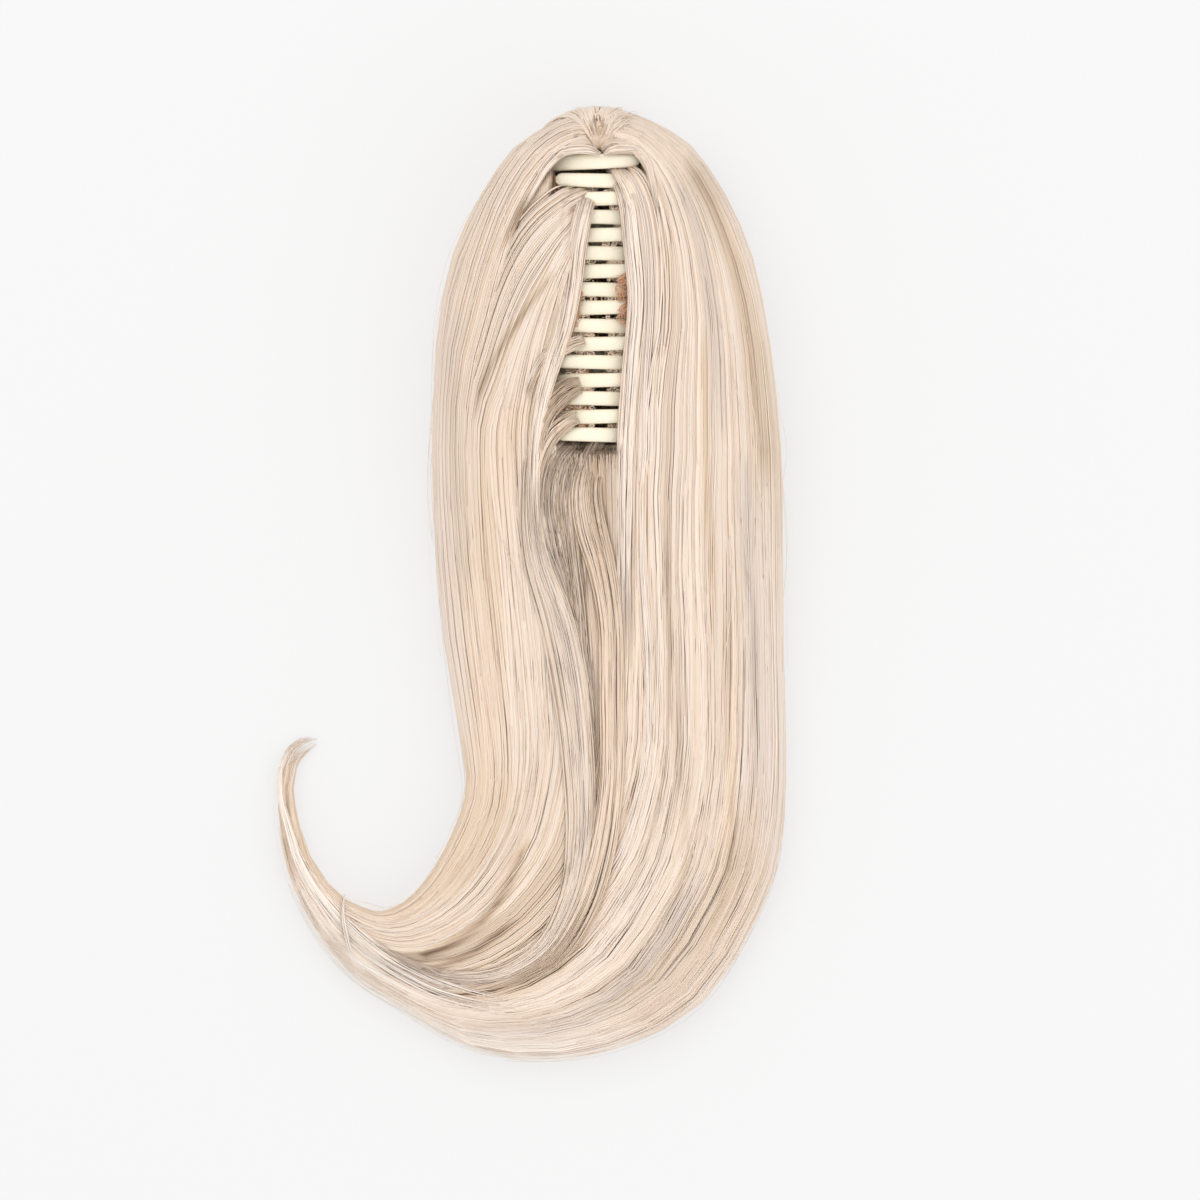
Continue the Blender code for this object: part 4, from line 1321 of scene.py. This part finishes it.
def lay_fan():
    rng = np.random.default_rng(77)
    turn = np.radians(FAN_MIDDLE + rng.uniform(-1, 1, FAN_STRANDS) * FAN_SPREAD)[:, None]
    reach = rng.uniform(*FAN_REACHES, FAN_STRANDS)[:, None]
    share = np.linspace(0, 1, FAN_STEPS)[None, :]
    start_x = ROOT[0] + rng.normal(0, 1.1, FAN_STRANDS)[:, None]
    x = start_x + 1.25 * reach * share * np.cos(turn)
    forward = 0.25 + 0.9 * np.clip(np.sin(turn), -0.2, 1)
    sag = FAN_SAG * share**2 * np.cos(turn) ** 2
    y = ROOT[1] + reach * forward * np.sin(share * np.pi / 2) - sag
    top = relief_height(x, y) + 0.4 - 0.9 * rng.random(FAN_STRANDS)[:, None]
    z = ROOT[2] + (top - ROOT[2]) * smooth(share * 2.6)
    z = z - 2.6 * np.maximum(y - CROWN_EDGE_Y, 0) ** 1.5
    y = np.minimum(y, CROWN_END_Y)
    facing = unit(np.stack([(x - ROOT[0]) * 0.03, (y - 168) * 0.05, np.ones_like(x)], -1))
    width = strand_widths(rng, FAN_STRANDS, FAN_WIDTHS, share, 0.5, 0.3, 0.6)
    tone = FAN_TONE + rng.normal(0, 0.07, (FAN_STRANDS, 1)) - FAN_ROOT_SHADE * (1 - smooth(share / 0.45))
    ash = FAN_ASH + rng.normal(0, 0.12, (FAN_STRANDS, 1))
    return np.stack([x, y, z], -1), facing, width, strand_tint(tone, ash)


strand_piece("crown_fan", *lay_fan(), np.linspace(0, 30, FAN_STRANDS))

# %% Strands over the end of the crown
NAPE_STRANDS = 380
NAPE_STEPS = 18
NAPE_WIDTHS = (0.5, 1.3)
NAPE_TONE, NAPE_ROOT_SHADE, NAPE_ASH = 0.72, 0.3, 0.2
CROWN_BEND = 0.0172
WallPoint = namedtuple("WallPoint", "y z spread")
NAPE_WALL = (
    WallPoint(168.0, 60.0, 0.5),
    WallPoint(172.0, 62.0, 3.0),
    WallPoint(177.5, 58.0, 7.0),
    WallPoint(181.8, 49.0, 11.0),
    WallPoint(184.0, 38.0, 15.0),
    WallPoint(184.3, 27.0, 19.0),
    WallPoint(183.3, 15.0, 23.0),
    WallPoint(180.5, 6.5, 26.0),
    WallPoint(175.0, 1.6, 29.0),
    WallPoint(166.0, 0.6, 32.0),
)


def lay_nape():
    rng = np.random.default_rng(55)
    place = rng.uniform(-1, 1, (NAPE_STRANDS, 1))
    reach = rng.uniform(0.55, 1.0, (NAPE_STRANDS, 1))
    share = np.linspace(0, 1, NAPE_STEPS)[None, :] * reach
    knots = np.linspace(0, 1, len(NAPE_WALL))
    y, z, spread = (np.interp(share, knots, column) for column in zip(*NAPE_WALL))
    beside = place * spread + 0.5 * np.sin(share * 9 + place * 20)
    x = HINGE[0] + beside
    y = y - CROWN_BEND * beside**2 * smooth(share / 0.3) + rng.normal(0, 0.2, place.shape)
    z = np.where(share < 0.3, np.minimum(z, relief_height(x, y) + 0.2), z)
    outward = 0.2 + 1.2 * smooth(share / 0.4)
    upward = 1.2 - 1.4 * smooth(share / 0.6)
    facing = unit(np.stack([beside * 0.05, outward, upward], -1))
    width = spread_widths(rng, NAPE_STRANDS, NAPE_WIDTHS) * (0.4 + 0.6 * smooth(share / 0.2))
    width = width * (1 - 0.85 * smooth((share / reach - 0.8) / 0.2))
    tone = NAPE_TONE + rng.normal(0, 0.06, place.shape) - NAPE_ROOT_SHADE * (1 - smooth(share / 0.25))
    ash = NAPE_ASH + rng.normal(0, 0.12, place.shape)
    return np.stack([x, y, z], -1), facing, width, strand_tint(tone, ash)


strand_piece("crown_end_strands", *lay_nape(), np.linspace(0, 40, NAPE_STRANDS))

# %% [markdown]
# ## Flyaways
# A few single hairs leave the locks and catch the light.

# %% Flyaways
FLYAWAYS = 90
FLYAWAY_LANES, FLYAWAY_CUTS = (0.1, 1.3), (4.5, 19)
FLYAWAY_RUNS, FLYAWAY_RISES = (1.0, 3.5), (0.8, 2.6)
FLYAWAY_WIDTHS, FLYAWAY_TONES, FLYAWAY_ASHES = (0.16, 0.28), (0.6, 0.98), (0, 0.5)


def lay_flyaways():
    rng = np.random.default_rng(99)
    paths, facings = [], []
    share = np.linspace(0, 1, FAN_STEPS)
    for number in range(FLYAWAYS):
        side = LEFT_SIDE if number % 2 else RIGHT_SIDE
        lane_start, cut_start = rng.uniform(*FLYAWAY_LANES), rng.uniform(*FLYAWAY_CUTS)
        lane = np.clip(lane_start + rng.uniform(-0.13, 0.13) * share + 0.02 * np.sin(share * 7), 0.02, 1.5)
        cut = np.minimum(cut_start + rng.uniform(*FLYAWAY_RUNS) * share, LAST_CUT - 0.3)
        normal = hair_normal(side, cut, lane)
        rise = rng.uniform(*FLYAWAY_RISES) * np.sin(share * np.pi * rng.uniform(0.5, 1.0))
        paths.append(hair_surface(side, cut, lane) + normal * (0.3 + rise)[:, None])
        facings.append(normal)
    width, tone, ash = (
        rng.uniform(*limits, (FLYAWAYS, 1)) for limits in (FLYAWAY_WIDTHS, FLYAWAY_TONES, FLYAWAY_ASHES)
    )
    tint = np.repeat(strand_tint(tone, ash), FAN_STEPS, 1)
    return np.array(paths), np.array(facings), np.repeat(width, FAN_STEPS, 1), tint


strand_piece("flyaway_hairs", *lay_flyaways(), np.linspace(0, 30, FLYAWAYS))

# %% [markdown]
# ## Net, pin and spring
# Between the teeth one sees the curly peach net that the hair is sewn to, and behind it
# the brass-coloured pin. The net's threads are strands with a curl. The pin keeps its CAD
# mesh with a metal finish, and the spring is wound again, smoother, by a screw.

# %% Net threads
thread_finish = Finish("peach_thread", Roughness=0.8)
thread_colour, _ = thread_finish.cloudy("#D9A17A", "#F0C4A2", Scale=400.0)
peach_thread = thread_finish.feed(Base_Color=thread_colour)
THREAD_STEPS = 70
NET_START, NET_END = -53, 46
NET_THREAD_WIDTH, ROOT_HAIR_WIDTH = 0.28, 0.55
NET_THREAD_TONE, ROOT_HAIR_TONE = 0.5, 0.62
THREAD_ASH = 0.15
THREAD_DRIFT = 4
CURLS, CURL_SIZES = (3, 7), (0.5, 1.3)
FULL_TURN = 6.28
# Threads between two angles from the top of the claw, round a place along it
NetPatch = namedtuple("NetPatch", "place spread low high radius threads")
NET_PATCHES = {
    LEFT_SIDE: (
        NetPatch(0.0, 52.0, 16.0, 40.0, 29.6, 26),
        NetPatch(-4.0, 9.0, 12.0, 34.0, 29.6, 18),
        NetPatch(-38.0, 11.0, 4.0, 34.0, 29.6, 34),
        NetPatch(-5.0, 10.0, 11.0, 22.0, 34.6, 26),
    ),
    RIGHT_SIDE: (
        NetPatch(0.0, 50.0, 16.0, 40.0, 29.6, 22),
        NetPatch(0.0, 10.0, 16.0, 32.0, 29.6, 16),
        NetPatch(-1.0, 8.0, 13.0, 24.0, 34.6, 20),
    ),
}
ROOT_HAIRS = {
    LEFT_SIDE: (NetPatch(-2.0, 52.0, 2.0, 34.0, 29.5, 230),),
    RIGHT_SIDE: (NetPatch(-2.0, 52.0, 4.0, 34.0, 29.5, 200),),
}


def curly_threads(patches, side, seed):
    """Threads that curl over a round net, as paths and facings."""
    rng = np.random.default_rng(seed)
    share = np.linspace(0, 1, THREAD_STEPS)
    paths, facings = [], []
    for patch in patches:
        for _ in range(patch.threads):
            start, end = rng.uniform(patch.low, patch.high, 2)
            place = patch.place + rng.uniform(-1, 1) * patch.spread
            place = np.clip(place + rng.uniform(-1, 1) * THREAD_DRIFT * share, NET_START, NET_END)
            curls, size = rng.uniform(*CURLS), rng.uniform(*CURL_SIZES)
            phase = rng.uniform(0, 2 * np.pi)
            curl = curls * FULL_TURN * share + phase
            angle = np.radians(start + (end - start) * share) + size / 30 * np.cos(curl)
            radius = patch.radius + rng.uniform(-1, 1) + 0.6 * np.sin(curls * 9 * share + phase)
            place = place + size * np.sin(curl)
            x = HINGE[0] + side * radius * np.sin(angle)
            z = HINGE[2] + radius * np.cos(angle)
            paths.append(np.stack([x, HINGE[1] + place, z], -1))
            facings.append(np.stack([side * np.sin(angle), 0 * angle, np.cos(angle)], -1))
    return np.array(paths), np.array(facings)


def lay_threads(name, patches, side, seed, width, tone, finish, slot):
    paths, facings = curly_threads(patches, side, seed)
    steps = paths.shape[:2]
    tint = strand_tint(np.full(steps, tone), THREAD_ASH)
    lanes = np.linspace(0, 10, len(paths))
    body = f"{SIDE_NAMES[side]}_side"
    return strand_piece(name, paths, facings, np.full(steps, width), tint, lanes, finish, body, slot)


for side, label in SIDE_NAMES.items():
    lay_threads(
        f"{label}_net_threads", NET_PATCHES[side], side, 40 + side,
        NET_THREAD_WIDTH, NET_THREAD_TONE, peach_thread, "peach_net",
    )
    lay_threads(
        f"{label}_root_hairs", ROOT_HAIRS[side], side, 60 + side,
        ROOT_HAIR_WIDTH, ROOT_HAIR_TONE, strand_finish, HAIR_SLOT,
    )

# %% Finishes of the CAD nodes that stay
weave = Finish("peach_net", Roughness=0.85)
weave_colour, weave_noise = weave.cloudy("#B98463", "#E5B38F", 0.35, 0.65, Scale=700.0, Detail=3.0)
weave_bump = weave.node("ShaderNodeBump", None, {"Strength": 0.5, "Distance": 0.0004, "Height": weave_noise})
net_cloth = weave.feed(Base_Color=weave_colour, Normal=weave_bump)

brass = Finish("pin_brass", Metallic=1.0)
brass_colour, brass_noise = brass.cloudy("#B8925A", "#D9B87C", Scale=300.0, Detail=4.0)
pin_brass = brass.feed(Base_Color=brass_colour, Roughness=0.25 + brass_noise * 0.2)

CAD_FINISHES = {
    "left_jaw": (ivory_plastic, "ivory_plastic"),
    "right_jaw": (ivory_plastic, "ivory_plastic"),
    "left_net": (net_cloth, "peach_net"),
    "right_net": (net_cloth, "peach_net"),
    "hinge_pin": (pin_brass, "pin_steel"),
}
for name, (finish, slot) in CAD_FINISHES.items():
    node = bpy.data.objects[name]
    node.data.materials.clear()
    node.data.materials.append(finish)

# %% Spring
SPRING_RADIUS, WIRE_RADIUS, SPRING_LENGTH, SPRING_TURNS = 2.45, 0.275, 23.0, 8
WIRE_SIDES, STEPS_PER_TURN = 10, 28
bpy.ops.object.select_all(action="DESELECT")
spring_start = (HINGE[1] - SPRING_LENGTH / 2) * MM
wire_place = (SPRING_RADIUS * MM, 0, 0)
bpy.ops.mesh.primitive_circle_add(vertices=WIRE_SIDES, radius=WIRE_RADIUS * MM, location=wire_place)
spring = bpy.context.object
spring.name = "wound_spring"
bpy.ops.object.transform_apply(location=True)
winding = spring.modifiers.new("winding", "SCREW")
winding.axis = "Y"
winding.screw_offset = SPRING_LENGTH / SPRING_TURNS * MM
winding.iterations = SPRING_TURNS
winding.steps = winding.render_steps = STEPS_PER_TURN
bpy.ops.object.modifier_apply(modifier="winding")
spring.location = (HINGE[0] * MM, spring_start, HINGE[2] * MM)
select_only(spring)
bpy.ops.object.transform_apply(location=True)
close_and_smooth(spring)
spring.data.materials.append(pin_brass)
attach(spring, ROOT_BODY)
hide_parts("spring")
print("spring:", len(spring.data.polygons), "faces")
